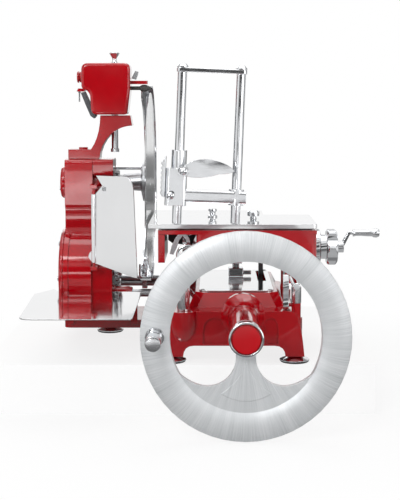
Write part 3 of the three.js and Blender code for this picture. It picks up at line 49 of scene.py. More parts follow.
lowerAxisZ = pivot["lower_spin"][2]
bladeAxisZ = pivot["blade_spin"][2]
perMetre = 1000  # millimetres
print("stage: frame loaded")


# ---- nodes as Python
class Wire:
    def __init__(self, graph, socket):
        self.graph = graph
        self.socket = socket

    def maths(self, operation, first, second):
        return self.graph.node("ShaderNodeMath", {"operation": operation}, {0: first, 1: second})

    def __add__(self, other):
        return self.maths("ADD", self, other)

    def __radd__(self, other):
        return self.maths("ADD", other, self)

    def __sub__(self, other):
        return self.maths("SUBTRACT", self, other)

    def __rsub__(self, other):
        return self.maths("SUBTRACT", other, self)

    def __mul__(self, other):
        return self.maths("MULTIPLY", self, other)

    def __pow__(self, other):
        return self.maths("POWER", self, other)

    def output(self, name):
        return Wire(self.graph, self.socket.node.outputs[name])


class Graph:
    def __init__(self, tree):
        self.tree = tree

    def node(self, kind, settings=None, sockets=None, out=0):
        made = self.tree.nodes.new(kind)
        for key, value in (settings or {}).items():
            if key == "stops":  # a ramp's places and greys
                while len(made.color_ramp.elements) < len(value):
                    made.color_ramp.elements.new(0.5)
                for element, (place, grey) in zip(made.color_ramp.elements, value):
                    element.position = place
                    element.color = (grey, grey, grey, 1)
            else:
                setattr(made, key, value)
        for key, value in (sockets or {}).items():
            if isinstance(value, Wire):
                self.tree.links.new(value.socket, made.inputs[key])
            else:
                made.inputs[key].default_value = value
        return Wire(self, made.outputs[out] if len(made.outputs) else None)

    def place(self):
        return self.node("ShaderNodeTexCoord", out="Object")

    def vector(self, x=0.0, y=0.0, z=0.0):
        return self.node("ShaderNodeCombineXYZ", {}, {"X": x, "Y": y, "Z": z})

    def noise(self, vector, scale, detail, rough=0.5):
        sockets = {"Vector": vector, "Scale": scale, "Detail": detail, "Roughness": rough}
        return self.node("ShaderNodeTexNoise", {}, sockets, out="Fac")

    def grain(self, vector, scale, detail, rough=0.5):  # noise with a scale along each axis
        stretched = self.node("ShaderNodeMapping", {}, {"Vector": vector, "Scale": scale})
        return self.noise(stretched, 1.0, detail, rough)

    def aroundAxis(self, axisZ, across):  # angle and distance about a level axis at height axisZ
        middle = self.node("ShaderNodeMapping", {}, {"Vector": self.place(), "Location": (0, 0, -axisZ)})
        side = self.node("ShaderNodeSeparateXYZ", {}, {"Vector": middle}).output(across)
        high = side.output("Z")
        return high.maths("ARCTAN2", high, side), ((side * side) + (high * high)) ** 0.5

    def ramp(self, value, *stops):
        return self.node("ShaderNodeValToRGB", {"stops": stops}, {"Fac": value})

    def tint(self, amount, first, second):
        return self.node("ShaderNodeMix", {"data_type": "RGBA"}, {0: amount, 6: first, 7: second}, out=2)

    def softEdge(self, radius):
        return self.node("ShaderNodeBevel", {"samples": 4}, {"Radius": radius})

    def edgeMask(self, soft, gain):
        flat = self.node("ShaderNodeNewGeometry", out="Normal")
        dot = {"operation": "DOT_PRODUCT"}
        facing = self.node("ShaderNodeVectorMath", dot, {0: soft, 1: flat}, out="Value")
        return self.node("ShaderNodeClamp", {}, {"Value": (1 - facing) * gain})

    def principled(self, sockets, height=None, relief=None, soft=None):
        if height is not None:
            bump = {"Height": height, "Strength": relief[0], "Distance": relief[1]}
            if soft is not None:
                bump["Normal"] = soft
            sockets["Normal"] = self.node("ShaderNodeBump", {}, bump)
        return self.node("ShaderNodeBsdfPrincipled", {}, sockets)

    def metal(self, colour, rough, height, relief, soft, share=1):
        sockets = {"Base Color": colour, "Metallic": share, "Roughness": rough}
        return self.principled(sockets, height, relief, soft)

    def close(self, shader):
        self.node("ShaderNodeOutputMaterial", {}, {"Surface": shader})


def newFinish(name):
    material = bpy.data.materials.new(name)
    material.use_nodes = True
    material.node_tree.nodes.clear()
    return material, Graph(material.node_tree)


def rgb(red, green, blue):
    def channel(value):
        value /= 255
        return value / 12.92 if value <= 0.04045 else ((value + 0.055) / 1.055) ** 2.4

    return (channel(red), channel(green), channel(blue), 1)


# ---- finishes
# a noise is given as scale, detail and roughness, a relief as a bump's strength and distance,
# and rough as the least roughness and what the pattern adds to it
enamelLook = {
    "deep": rgb(126, 0, 9), "bright": rgb(196, 1, 18), "edge": rgb(196, 20, 28), "softness": 0.0022,
    "cloud": (7, 3), "dust": (90, 5, 0.6), "specks": ((0.4, 0.0), (0.8, 1.0)), "edgeGain": 3,
    "wear": (0.15, 0.5), "rough": (0.08, 0.08), "coat": (0.6, 0.3), "coatRough": 0.03, "gloss": 0.35,
    "wave": (9, 1), "peel": (420, 2), "peelShare": 0.006, "relief": (0.75, 0.006),
}


def makeEnamel():
    look = enamelLook
    material, g = newFinish("redEnamel")
    spot = g.place()
    cloud = g.noise(spot, *look["cloud"])
    dust = g.noise(spot, *look["dust"])
    peel = g.noise(spot, *look["peel"])
    wave = g.noise(spot, *look["wave"])
    soft = g.softEdge(look["softness"])
    edge = g.edgeMask(soft, look["edgeGain"])
    colour = g.tint(cloud, look["deep"], look["bright"])
    colour = g.tint(edge * (look["wear"][0] + dust * look["wear"][1]), colour, look["edge"])
    sockets = {
        "Base Color": colour,
        "Roughness": look["rough"][0] + g.ramp(dust, *look["specks"]) * look["rough"][1],
        "Coat Weight": look["coat"][0] + dust * look["coat"][1],
        "Coat Roughness": look["coatRough"],
        "Specular IOR Level": look["gloss"],
    }
    g.close(g.principled(sockets, wave + peel * look["peelShare"], look["relief"], soft))
    return material


chromeLook = {
    "low": rgb(214, 216, 219), "high": rgb(240, 241, 243), "softness": 0.0011, "cloud": (26, 4),
    "smear": ((60, 60, 520), 4, 0.6), "specks": ((0.4, 0.0), (0.8, 1.0)), "cloudRough": 0.03,
}
chromeKinds = {  # the cast pieces have more swell under their plating, the grips more wear on it
    "brightChrome": {"rough": (0.06, 0.1), "wave": (15, 1), "relief": (0.5, 0.002)},
    "polishedGrip": {"rough": (0.12, 0.16), "wave": (15, 1), "relief": (0.5, 0.002)},
    "castChrome": {"rough": (0.05, 0.1), "wave": (21, 1), "relief": (1.0, 0.002)},
}


def makeChrome(name):
    look = {**chromeLook, **chromeKinds[name]}
    material, g = newFinish(name)
    spot = g.place()
    cloud = g.noise(spot, *look["cloud"])
    smear = g.ramp(g.grain(spot, *look["smear"]), *look["specks"])
    soft = g.softEdge(look["softness"])
    colour = g.tint(cloud, look["low"], look["high"])
    rough = look["rough"][0] + smear * look["rough"][1] + cloud * look["cloudRough"]
    g.close(g.metal(colour, rough, g.noise(spot, *look["wave"]), look["relief"], soft))
    return material


sheetLook = {
    "low": rgb(222, 223, 224), "high": rgb(246, 246, 247), "softness": 0.0008, "cloud": (11, 3),
    "lines": ((26, 900, 900), 5, 0.65), "shares": (0.6, 0.4), "shine": ((0.35, 0.0), (0.8, 1.0)),
    "rough": (0.05, 0.1), "cloudRough": 0.02, "relief": (0.03, 0.0002),
}


def makeSheet():  # polished sheet with a faint grain along one direction
    look = sheetLook
    material, g = newFinish("polishedSheet")
    spot = g.place()
    lines = g.grain(spot, *look["lines"])
    cloud = g.noise(spot, *look["cloud"])
    soft = g.softEdge(look["softness"])
    colour = g.tint(lines * look["shares"][0] + cloud * look["shares"][1], look["low"], look["high"])
    rough = look["rough"][0] + g.ramp(lines, *look["shine"]) * look["rough"][1] + cloud * look["cloudRough"]
    g.close(g.metal(colour, rough, lines, look["relief"], soft))
    return material


rimLook = {  # each pattern: scale round, scale outwards and layer, then detail and roughness
    "low": rgb(184, 188, 190), "high": rgb(236, 237, 239), "metal": 0.42, "softness": 0.001,
    "rays": ((340.0, 9, 0.0), 6, 0.75), "broad": ((9, 3, 4.0), 2), "turning": ((2, 2600, 1.0), 2),
    "shares": (0.82, 0.18), "shine": ((0.36, 0.0), (0.66, 1.0)), "rough": (0.46, 0.12), "heights": (0.5, 0.5),
    "relief": (0.16, 0.0003),
}


def makeRim():  # satin casting, turned on a lathe, with a painted sheen: fine lighter rays that fan out from the axis
    look = rimLook
    material, g = newFinish("satinRim")
    angle, away = g.aroundAxis(wheelAxisZ, "X")
    rays, broad, turning = (
        g.noise(g.vector(angle * around, away * outward, layer), 1.0, *detail)
        for (around, outward, layer), *detail in (look["rays"], look["broad"], look["turning"]))
    soft = g.softEdge(look["softness"])
    # painted sheen: where the rays and broad patches shine, the colour is lighter and the surface less rough
    shine = g.ramp(rays * look["shares"][0] + broad * look["shares"][1], *look["shine"])
    colour = g.tint(shine, look["low"], look["high"])
    rough = look["rough"][0] + (1 - shine) * look["rough"][1]
    height = turning * look["heights"][0] + rays * look["heights"][1]
    g.close(g.metal(colour, rough, height, look["relief"], soft, look["metal"]))
    return material


bladeLook = {  # rings: scale outwards and layer; wedges: scale round, scale outwards and layer
    "dark": rgb(78, 82, 84), "low": rgb(158, 162, 164), "high": rgb(240, 241, 242), "softness": 0.0005,
    "rings": (2400, 2.0), "ringDetail": 3, "wedges": (2.2, 2, 7.0), "wedgeDetail": (3, 0.6),
    "shade": ((0.42, 0.0), (0.68, 0.36)), "rough": (0.09, 0.12), "relief": (0.05, 0.0002),
}


def makeBlade():  # ground disc: circular grinding lines under faint wedges of shine
    look = bladeLook
    material, g = newFinish("groundBlade")
    angle, away = g.aroundAxis(bladeAxisZ, "Y")
    outward, layer = look["rings"]
    rings = g.noise(g.vector(away * outward, 0.0, layer), 1.0, look["ringDetail"])
    around, outward, layer = look["wedges"]
    wedges = g.noise(g.vector(angle * around, away * outward, layer), 1.0, *look["wedgeDetail"])
    soft = g.softEdge(look["softness"])
    colour = g.tint(rings, look["low"], look["high"])
    colour = g.tint(g.ramp(wedges, *look["shade"]), colour, look["dark"])
    rough = look["rough"][0] + rings * look["rough"][1]
    g.close(g.metal(colour, rough, rings, look["relief"], soft))
    return material


steelLook = {
    "low": rgb(140, 142, 145), "high": rgb(206, 208, 210), "oil": rgb(70, 58, 40), "softness": 0.0006,
    "cloud": (60, 5, 0.6), "lines": ((1400, 240, 240), 3), "edgeGain": 4, "film": ((0.5, 0.0), (0.85, 1.0)),
    "filmShare": 0.5, "rough": (0.22, 0.2), "edgeWear": 0.08, "relief": (0.1, 0.0002),
}


def makeSteel():
    look = steelLook
    material, g = newFinish("oiledSteel")
    spot = g.place()
    cloud = g.noise(spot, *look["cloud"])
    lines = g.grain(spot, *look["lines"])
    soft = g.softEdge(look["softness"])
    edge = g.edgeMask(soft, look["edgeGain"])
    colour = g.tint(lines, look["low"], look["high"])
    colour = g.tint(g.ramp(cloud, *look["film"]) * look["filmShare"], colour, look["oil"])
    rough = look["rough"][0] + cloud * look["rough"][1] - edge * look["edgeWear"]
    g.close(g.metal(colour, rough, lines, look["relief"], soft))
    return material


ironLook = {
    "low": rgb(70, 72, 74), "high": rgb(112, 114, 117), "softness": 0.0008, "grit": (700, 4, 0.7),
    "cloud": (40, 4), "shares": (0.6, 0.4), "rough": (0.36, 0.22), "relief": (0.25, 0.0003),
}


def makeIron():
    look = ironLook
    material, g = newFinish("machinedIron")
    spot = g.place()
    grit = g.noise(spot, *look["grit"])
    cloud = g.noise(spot, *look["cloud"])
    soft = g.softEdge(look["softness"])
    colour = g.tint(cloud * look["shares"][0] + grit * look["shares"][1], look["low"], look["high"])
    g.close(g.metal(colour, look["rough"][0] + cloud * look["rough"][1], grit, look["relief"], soft))
    return material


bronzeLook = {
    "low": rgb(150, 112, 58), "high": rgb(206, 170, 104), "softness": 0.0006, "lines": ((900, 900, 120), 4),
    "rough": (0.25, 0.2), "relief": (0.1, 0.0002),
}


def makeBronze():
    look = bronzeLook
    material, g = newFinish("bearingBronze")
    lines = g.grain(g.place(), *look["lines"])
    soft = g.softEdge(look["softness"])
    colour = g.tint(lines, look["low"], look["high"])
    g.close(g.metal(colour, look["rough"][0] + lines * look["rough"][1], lines, look["relief"], soft))
    return material


footLook = {
    "sole": rgb(16, 16, 17), "worn": rgb(44, 44, 45), "low": rgb(205, 207, 210), "high": rgb(238, 239, 241),
    "softness": 0.0006, "soleTop": 0.0026, "parting": 9000, "grit": (900, 4, 0.7), "cloud": (50, 3),
    "soleRough": (0.62, 0.25), "soleRelief": (0.4, 0.0004), "rough": (0.08, 0.08), "relief": (0.05, 0.0003),
}


def makeFoot():  # black rubber below, a chrome skirt above
    look = footLook
    material, g = newFinish("footSkirt")
    spot = g.place()
    height = g.node("ShaderNodeSeparateXYZ", {}, {"Vector": spot}, out="Z")
    skirt = g.node("ShaderNodeClamp", {}, {"Value": (height - look["soleTop"]) * look["parting"]})
    grit = g.noise(spot, *look["grit"])
    cloud = g.noise(spot, *look["cloud"])
    soft = g.softEdge(look["softness"])
    sole = {"Base Color": g.tint(cloud, look["sole"], look["worn"]),
            "Roughness": look["soleRough"][0] + grit * look["soleRough"][1]}
    rubber = g.principled(sole, grit, look["soleRelief"], soft)
    colour = g.tint(cloud, look["low"], look["high"])
    chrome = g.metal(colour, look["rough"][0] + cloud * look["rough"][1], cloud, look["relief"], soft)
    g.close(g.node("ShaderNodeMixShader", {}, {0: skirt, 1: rubber, 2: chrome}))
    return material


stoneLook = {
    "low": rgb(38, 39, 40), "high": rgb(94, 93, 90), "glint": rgb(150, 150, 150), "grit": 1500.0,
    "cloud": (160, 4), "glints": ((0.0, 1.0), (0.25, 0.0)), "glintShare": 0.5, "rough": (0.75, 0.2),
    "relief": (0.8, 0.0003),
}


def makeStone():
    look = stoneLook
    material, g = newFinish("grindingStone")
    spot = g.place()
    grit = g.node("ShaderNodeTexVoronoi", {}, {"Vector": spot, "Scale": look["grit"]}, out="Distance")
    cloud = g.noise(spot, *look["cloud"])
    colour = g.tint(cloud, look["low"], look["high"])
    colour = g.tint(g.ramp(grit, *look["glints"]) * look["glintShare"], colour, look["glint"])
    sockets = {"Base Color": colour, "Roughness": look["rough"][0] + cloud * look["rough"][1]}
    g.close(g.principled(sockets, grit, look["relief"]))
    return material


inkLook = {
    "low": rgb(20, 20, 22), "high": rgb(48, 48, 50), "cloud": (300, 3), "rough": (0.4, 0.2),
    "relief": (0.1, 0.0001),
}


def makeInk():  # enamel filling of engraved lines, and the painted shade of the plate behind the links
    look = inkLook
    material, g = newFinish("lineInkAndShade")
    cloud = g.noise(g.place(), *look["cloud"])
    colour = g.tint(cloud, look["low"], look["high"])
    sockets = {"Base Color": colour, "Roughness": look["rough"][0] + cloud * look["rough"][1]}
    g.close(g.principled(sockets, cloud, look["relief"]))
    return material


finishes = {
    "red": makeEnamel(),
    "chrome": makeChrome("brightChrome"),
    "sheet": makeSheet(),
    "blade": makeBlade(),
    "grip": makeChrome("polishedGrip"),
    "ripple": makeChrome("castChrome"),
    "rim": makeRim(),
    "steel": makeSteel(),
    "iron": makeIron(),
    "bronze": makeBronze(),
    "foot": makeFoot(),
    "stone": makeStone(),
    "inkAndShade": makeInk(),
}
print("stage: finishes made")

# ---- every solid of the frame, with smooth shoulders and its finish
slotFinish = {
    "red": "red", "chrome": "chrome", "polished": "sheet", "satin": "rim", "steel": "steel", "iron": "iron",
    "bronze": "bronze", "rubber": "foot", "stone": "stone",
}
ownFinish = {
    "blade": "blade", "wheel_grip": "grip", "feed_grip": "grip", "lower_chain_wheel": "chrome",
    "guard_bars": "steel", "press_lever": "ripple", "blade_guard": "ripple", "grip_plate": "ripple",
    "drive_fork": "ripple",
}
dressing = {
    "weld": 2e-6, "foldAngle": math.radians(34), "leaveOut": {"drive_chain"}, "flat": math.radians(0.4),
    "rounds": 3, "cornerFrom": math.radians(38), "normalWeight": 60,
}
cornerRound = {  # edge rounding in metres
    "base_casting": 0.0022, "column": 0.0026, "lower_cover": 0.0016, "upper_cover": 0.0016,
    "sharpener_arm": 0.0022, "sharpener_head": 0.005, "carriage_body": 0.0018, "hub_cap": 0.0018,
    "flywheel": 0.0014, "meat_table": 0.0012, "press_beam": 0.0012, "crossbar": 0.001, "left_slider": 0.001,
    "blade_guard": 0.0005, "guard_bars": 0.0006, "drive_fork": 0.0012, "wheel_hub": 0.0008,
    "push_button": 0.0004, "press_lever": 0.0026, "grip_plate": 0.0007, "star_knob": 0.0012,
}
freeRound = {"sharpener_head", "hub_cap", "lower_cover", "upper_cover"}  # no limit where roundings meet
roundBeyond = {"sharpener_head": 0.0285}  # only edges this far from the middle plane are rounded


def newPiece(name, mesh, body, finish=None):  # a mesh from a tree has its finish already
    piece = bpy.data.objects.new(name, mesh)
    bpy.context.scene.collection.objects.link(piece)
    if finish:
        mesh.materials.append(finishes[finish])
    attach(piece, body)
    return piece


def smoothFaces(solid, foldAngle):
    for face in solid.faces:
        face.smooth = True
    for edge in solid.edges:
        if len(edge.link_faces) == 2:
            edge.smooth = edge.calc_face_angle(0) < foldAngle


def weighEdges(solid, reach):
    weight = solid.edges.layers.float.new("bevel_weight_edge")
    for edge in solid.edges:
        sharp = edge.calc_face_angle(0) > dressing["cornerFrom"]
        outer = all(abs(corner.co.y) > reach for corner in edge.verts)
        edge[weight] = 1.0 if sharp and outer else 0.0


def roundCorners(piece, node):
    rounding = piece.modifiers.new("cornerRound", "BEVEL")
    rounding.width = cornerRound[node]
    rounding.segments = dressing["rounds"]
    rounding.limit_method = "WEIGHT" if node in roundBeyond else "ANGLE"
    rounding.angle_limit = dressing["cornerFrom"]
    rounding.use_clamp_overlap = node not in freeRound


def dressNode(node):
    solid = bmesh.new()
    solid.from_mesh(frame["nodes"][node].data)
    bmesh.ops.remove_doubles(solid, verts=solid.verts, dist=dressing["weld"])
    if node in cornerRound:
        bmesh.ops.dissolve_limit(solid, angle_limit=dressing["flat"], verts=solid.verts, edges=solid.edges)
    smoothFaces(solid, dressing["foldAngle"])
    if node in roundBeyond:
        weighEdges(solid, roundBeyond[node])
    mesh = bpy.data.meshes.new(node + "_skin")
    solid.to_mesh(mesh)
    solid.free()
    finish = ownFinish.get(node) or slotFinish[slotOf[node]]
    piece = newPiece(node + "_skin", mesh, bodyOf[node], finish)
    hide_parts(node)
    if node in cornerRound:
        roundCorners(piece, node)
    shading = piece.modifiers.new("evenShading", "WEIGHTED_NORMAL")
    shading.keep_sharp = True
    shading.weight = dressing["normalWeight"]


for node in frame["nodes"]:
    if node not in dressing["leaveOut"]:
        dressNode(node)
print("stage: solids dressed")


# ---- mesh helpers, in millimetres
samePlace = 0.001
onAxis = 1e-6


def meshFrom(name, solid, foldDegrees=34):
    bmesh.ops.remove_doubles(solid, verts=solid.verts, dist=samePlace)
    bmesh.ops.recalc_face_normals(solid, faces=solid.faces)
    smoothFaces(solid, math.radians(foldDegrees))
    bmesh.ops.scale(solid, vec=(0.001, 0.001, 0.001), verts=solid.verts)
    mesh = bpy.data.meshes.new(name)
    solid.to_mesh(mesh)
    solid.free()
    return mesh


def polar(radius, turn):
    return radius * math.cos(turn), radius * math.sin(turn)


def lathe(solid, profile, sides, matrix):  # profile of (along, radius) about local Z
    rings = []
    for along, radius in profile:
        if radius < onAxis:
            rings.append([solid.verts.new(matrix @ Vector((0, 0, along)))])
            continue
        spots = [(*polar(radius, 2 * math.pi * i / sides), along) for i in range(sides)]
        rings.append([solid.verts.new(matrix @ Vector(spot)) for spot in spots])
    for low, high in zip(rings, rings[1:]):
        for i in range(sides):
            j = (i + 1) % sides
            corners = [low[i % len(low)], low[j % len(low)], high[j % len(high)], high[i % len(high)]]
            unique = list(dict.fromkeys(corners))
            if len(unique) > 2:
                solid.faces.new(unique)


def slab(solid, outline, thickness, matrix):  # outline of (x, y), from z 0 to thickness
    low = [solid.verts.new(matrix @ Vector((x, y, 0))) for x, y in outline]
    high = [solid.verts.new(matrix @ Vector((x, y, thickness))) for x, y in outline]
    solid.faces.new(low[::-1])
    solid.faces.new(high)
    for i in range(len(outline)):
        j = (i + 1) % len(outline)
        solid.faces.new([low[i], low[j], high[j], high[i]])


def facing(axis, x, y, z):  # local Z turned to a row axis, then moved
    turns = {
        "+x": (math.pi / 2, "Y"), "-x": (-math.pi / 2, "Y"),
        "+y": (-math.pi / 2, "X"), "-y": (math.pi / 2, "X"), "+z": (0, "X"),
    }
    angle, about = turns[axis]
    return Matrix.Translation((x, y, z)) @ Matrix.Rotation(angle, 4, about)


# ---- geometry node helpers
def newTree(name, inputs):
    tree = bpy.data.node_groups.new(name, "GeometryNodeTree")
    tree.interface.new_socket("Geometry", in_out="INPUT", socket_type="NodeSocketGeometry")
    tree.interface.new_socket("Geometry", in_out="OUTPUT", socket_type="NodeSocketGeometry")
    for label, (kind, value) in inputs.items():
        socket = tree.interface.new_socket(label, in_out="INPUT", socket_type=kind)
        socket.default_value = value
    graph = Graph(tree)
    graph.user = graph.node("NodeGroupInput")
    return graph


def endTree(graph, geometry, finish):
    real = graph.node("GeometryNodeRealizeInstances", {}, {"Geometry": geometry})
    coated = graph.node("GeometryNodeSetMaterial", {}, {"Geometry": real, "Material": finishes[finish]})
    graph.node("NodeGroupOutput", {}, {"Geometry": coated})


def grow(name, graph, seedMesh, values, body):
    host = bpy.data.objects.new(name + "Host", seedMesh)
    bpy.context.scene.collection.objects.link(host)
    maker = host.modifiers.new("maker", "NODES")
    maker.node_group = graph.tree
    for item in graph.tree.interface.items_tree:
        if item.in_out == "INPUT" and item.name in values:
            maker[item.identifier] = values[item.name]
    bpy.context.view_layer.update()
    shaped = host.evaluated_get(bpy.context.evaluated_depsgraph_get())
    mesh = bpy.data.meshes.new_from_object(shaped)
    bpy.data.objects.remove(host)
    mesh.name = name
    return newPiece(name, mesh, body)


# ---- drive chain: a link between each two stops of its rollers
chainUser = {
    "pitch": 9.946, "lowerTeeth": 24, "upperTeeth": 12, "x": -218.0, "gap": 4.6, "plate": 1.1,
    "plateHalf": 3.0, "waist": 0.72, "outerShare": 0.52, "roller": 2.55, "chamfer": 0.1, "pin": (1.3, 1.4),
    "pinEnd": 0.25, "sides": 12, "scale": 1.0,
}


def chainStops():
    user = chainUser
    lowerZ, upperZ = lowerAxisZ * perMetre, bladeAxisZ * perMetre
    rise = upperZ - lowerZ
    low = user["pitch"] / 2 / math.sin(math.pi / user["lowerTeeth"])
    high = user["pitch"] / 2 / math.sin(math.pi / user["upperTeeth"])
    slant = math.asin((low - high) / rise)
    straight = rise * math.cos(slant)
    lowArc = (math.pi / 2 + slant) * low
    half = lowArc + straight + (math.pi / 2 - slant) * high
    count = 2 * round(half / user["pitch"])
    stops = []
    for i in range(count):
        back = i > count / 2
        path = 2 * half * (count - i if back else i) / count
        if path <= lowArc:
            radius, z, turn = low, lowerZ, path / low - math.pi / 2
        elif path <= lowArc + straight:
            share = (path - lowArc) / straight
            radius, z, turn = low + (high - low) * share, lowerZ + rise * share, slant
        else:
            radius, z, turn = high, upperZ, slant + (path - lowArc - straight) / high
        y, lift = polar(radius, turn)
        stops.append((-y if back else y, z + lift))
    return stops


def linkMesh(length, wide):
    user = chainUser
    solid = bmesh.new()
    outline = []
    for end, start in ((length / 2, -90), (-length / 2, 90)):
        for i in range(7):
            x, y = polar(user["plateHalf"], math.radians(start + i * 30))
            outline.append((end + x, y))
        waist = user["plateHalf"] * user["waist"]
        outline.append((0, waist if start < 0 else -waist))
    offset = user["gap"] / 2 + (user["plate"] * user["outerShare"] if wide else 0)
    for side in (-offset - user["plate"] / 2, offset):
        slab(solid, outline, user["plate"] / 2, Matrix.Translation((0, 0, side)))
    pinTip, pinFoot = user["pin"]
    reach = offset + user["plate"] / 2 + user["pinEnd"]
    shoulder = offset - user["chamfer"]
    right = [(shoulder, user["roller"]), (offset, pinFoot), (reach, pinTip), (reach, 0)]
    roller = [(-along, radius) for along, radius in right[::-1]] + right
    for end in (-length / 2, length / 2):
        lathe(solid, roller, user["sides"], Matrix.Translation((end, 0, 0)))
    return meshFrom("chainLink", solid)


def makeChain():
    user = chainUser
    stops = chainStops()
    middles, headings, kinds = [], [], []
    for i, (y, z) in enumerate(stops):
        nextY, nextZ = stops[(i + 1) % len(stops)]
        middle = Vector((user["x"], (y + nextY) / 2, (z + nextZ) / 2))
        middles.append(middle / perMetre)
        headings.append(math.atan2(nextZ - z, nextY - y))
        kinds.append(i % 2)
    seed = bpy.data.meshes.new("chainSeed")
    seed.from_pydata(middles, [], [])
    seed.attributes.new("heading", "FLOAT", "POINT").data.foreach_set("value", headings)
    seed.attributes.new("wide", "INT", "POINT").data.foreach_set("value", kinds)
    graph = newTree("chainMaker", {"Link scale": ("NodeSocketFloat", 1.0)})
    scale = graph.user.output("Link scale")
    heading = graph.node("GeometryNodeInputNamedAttribute", {"data_type": "FLOAT"}, {"Name": "heading"})
    wide = graph.node("GeometryNodeInputNamedAttribute", {"data_type": "INT"}, {"Name": "wide"})
    rows = []
    for kind in (0, 1):
        link = bpy.data.objects.new(f"chainLink{kind}", linkMesh(user["pitch"], kind))
        for vertex in link.data.vertices:  # length along Y, width along X
            x, y, z = vertex.co
            vertex.co = (z, x, y)
        info = graph.node("GeometryNodeObjectInfo", {}, {"Object": link}, out="Geometry")
        chosen = wide.output("Attribute").maths("COMPARE", wide.output("Attribute"), float(kind))
        sockets = {"Points": graph.user.output("Geometry"), "Selection": chosen, "Instance": info,
                   "Rotation": graph.vector(heading), "Scale": graph.vector(scale, scale, scale)}
        rows.append(graph.node("GeometryNodeInstanceOnPoints", {}, sockets))
    both = graph.node("GeometryNodeJoinGeometry", {}, {"Geometry": rows[0]})
    graph.tree.links.new(rows[1].socket, both.socket.node.inputs[0])
    endTree(graph, both, "steel")
    piece = grow("chain_links", graph, seed, {"Link scale": user["scale"]}, "base")
    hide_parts("drive_chain")


makeChain()
print("stage: chain linked")

# ---- slotted screws round the covers and in the drip plate
screwUser = {"head": 4.2, "rise": 1.6, "slot": 0.9, "slotDepth": 0.55, "root": 0.2, "steps": 12, "sides": 24,
             "turns": (0.0, 3.1), "seed": 5}


def screwMesh():  # a cheese head with its slot, standing on local Z
    user = screwUser
    solid = bmesh.new()
    reach = math.acos(user["slot"] / 2 / user["head"])
    for side in (1, -1):
        arc = [polar(user["head"], -reach + 2 * reach * i / user["steps"]) for i in range(user["steps"] + 1)]
        slab(solid, [(side * x, side * y) for x, y in arc], user["rise"], Matrix.Identity(4))
    floor = user["rise"] * (1 - user["slotDepth"])
    disc = [(-user["root"], 0), (-user["root"], user["head"]), (floor, user["head"]), (floor, 0)]
    lathe(solid, disc, user["sides"], Matrix.Identity(4))
    return meshFrom("slotScrew", solid)


def ringSpots(radius, axisZ, degrees):
    ring = [polar(radius, math.radians(turn)) for turn in degrees]
    return [(y, axisZ * perMetre + z) for y, z in ring]


screwSpots = {  # axis, level along it, places across it, size
    "cover_screws": ("-x", -316.1, ringSpots(68, lowerAxisZ, (20, 75, 130, 185, 300)) + [(-52.5, 58.5)], 1.0),
    "bearing_screws": ("-x", -317.3, ringSpots(20, bladeAxisZ, (90, 210, 330)), 0.8),
    "drip_screws": ("+z", 107.0, [(-64, -187), (46, -187), (-64, 35), (46, 35)], 0.7),
}


def makeScrews():
    inputs = {"Screw": ("NodeSocketObject", None), "Size": ("NodeSocketFloat", 1.0)}
    graph = newTree("screwMaker", inputs)
    size = graph.user.output("Size")
    least, most = screwUser["turns"]
    chance = {"Min": least, "Max": most, "Seed": screwUser["seed"]}
    spin = graph.node("FunctionNodeRandomValue", {"data_type": "FLOAT"}, chance, out=1)
    info = graph.node("GeometryNodeObjectInfo", {}, {"Object": graph.user.output("Screw")}, out="Geometry")
    sockets = {"Points": graph.user.output("Geometry"), "Instance": info, "Rotation": graph.vector(z=spin),
               "Scale": graph.vector(size, size, size)}
    endTree(graph, graph.node("GeometryNodeInstanceOnPoints", {}, sockets), "steel")
    for name, (axis, level, places, scale) in screwSpots.items():
        matrix = facing(axis, 0, 0, 0)
        screw = bpy.data.objects.new(name + "Head", screwMesh())
        points = []
        for first, second in places:
            spot = (level, first, second) if axis[1] == "x" else (first, second, level)
            points.append(matrix.inverted() @ (Vector(spot) / perMetre))
        seed = bpy.data.meshes.new(name + "Seed")
        seed.from_pydata(points, [], [])
        piece = grow(name, graph, seed, {"Screw": screw, "Size": scale}, "base")
        piece.data.transform(matrix)


makeScrews()
print("stage: screws set")

# ---- graduation of the feed dial, every fifth mark longer
dialUser = {"marks": 40, "radius": 30.6, "centre": (131.5, -75.0, 164.0), "length": 5.0, "longer": 0.55,
            "every": 5.0, "width": 0.45, "height": 0.12}


def makeDialMarks():
    user = dialUser
    solid = bmesh.new()
    x, y = user["length"] / 2, user["width"] / 2
    slab(solid, [(-x, -y), (x, -y), (x, y), (-x, y)], user["height"], Matrix.Identity(4))
    mark = bpy.data.objects.new("dialMark", meshFrom("dialMark", solid))
    inputs = {"Marks": ("NodeSocketInt", 40), "Radius": ("NodeSocketFloat", 0.03),
              "Mark": ("NodeSocketObject", None)}
    graph = newTree("dialMaker", inputs)
    rows = {"Vertices": graph.user.output("Marks"), "Radius": graph.user.output("Radius")}
    ring = graph.node("GeometryNodeMeshCircle", {}, rows)
    index = graph.node("GeometryNodeInputIndex")
    turn = graph.vector(index * (2 * math.pi / user["marks"]))
    fifth = {0: index.maths("MODULO", index, user["every"]), 1: 0.0, 2: 0.1}
    longer = graph.node("ShaderNodeMath", {"operation": "COMPARE"}, fifth)
    size = graph.vector(1.0 + longer * user["longer"], 1.0, 1.0)
    upright = graph.node("GeometryNodeTransform", {}, {"Geometry": ring, "Rotation": (0, math.pi / 2, 0)})
    info = graph.node("GeometryNodeObjectInfo", {}, {"Object": graph.user.output("Mark")}, out="Geometry")
    sockets = {"Points": upright, "Instance": info, "Rotation": turn, "Scale": size}
    endTree(graph, graph.node("GeometryNodeInstanceOnPoints", {}, sockets), "inkAndShade")
    seed = bpy.data.meshes.new("dialSeed")
    seed.from_pydata([(0, 0, 0)], [], [])
    values = {"Marks": user["marks"], "Radius": user["radius"] / perMetre, "Mark": mark}
    piece = grow("dial_marks", graph, seed, values, "carriage")
    piece.data.transform(Matrix.Translation(Vector(user["centre"]) / perMetre))


makeDialMarks()
print("stage: dial marked")

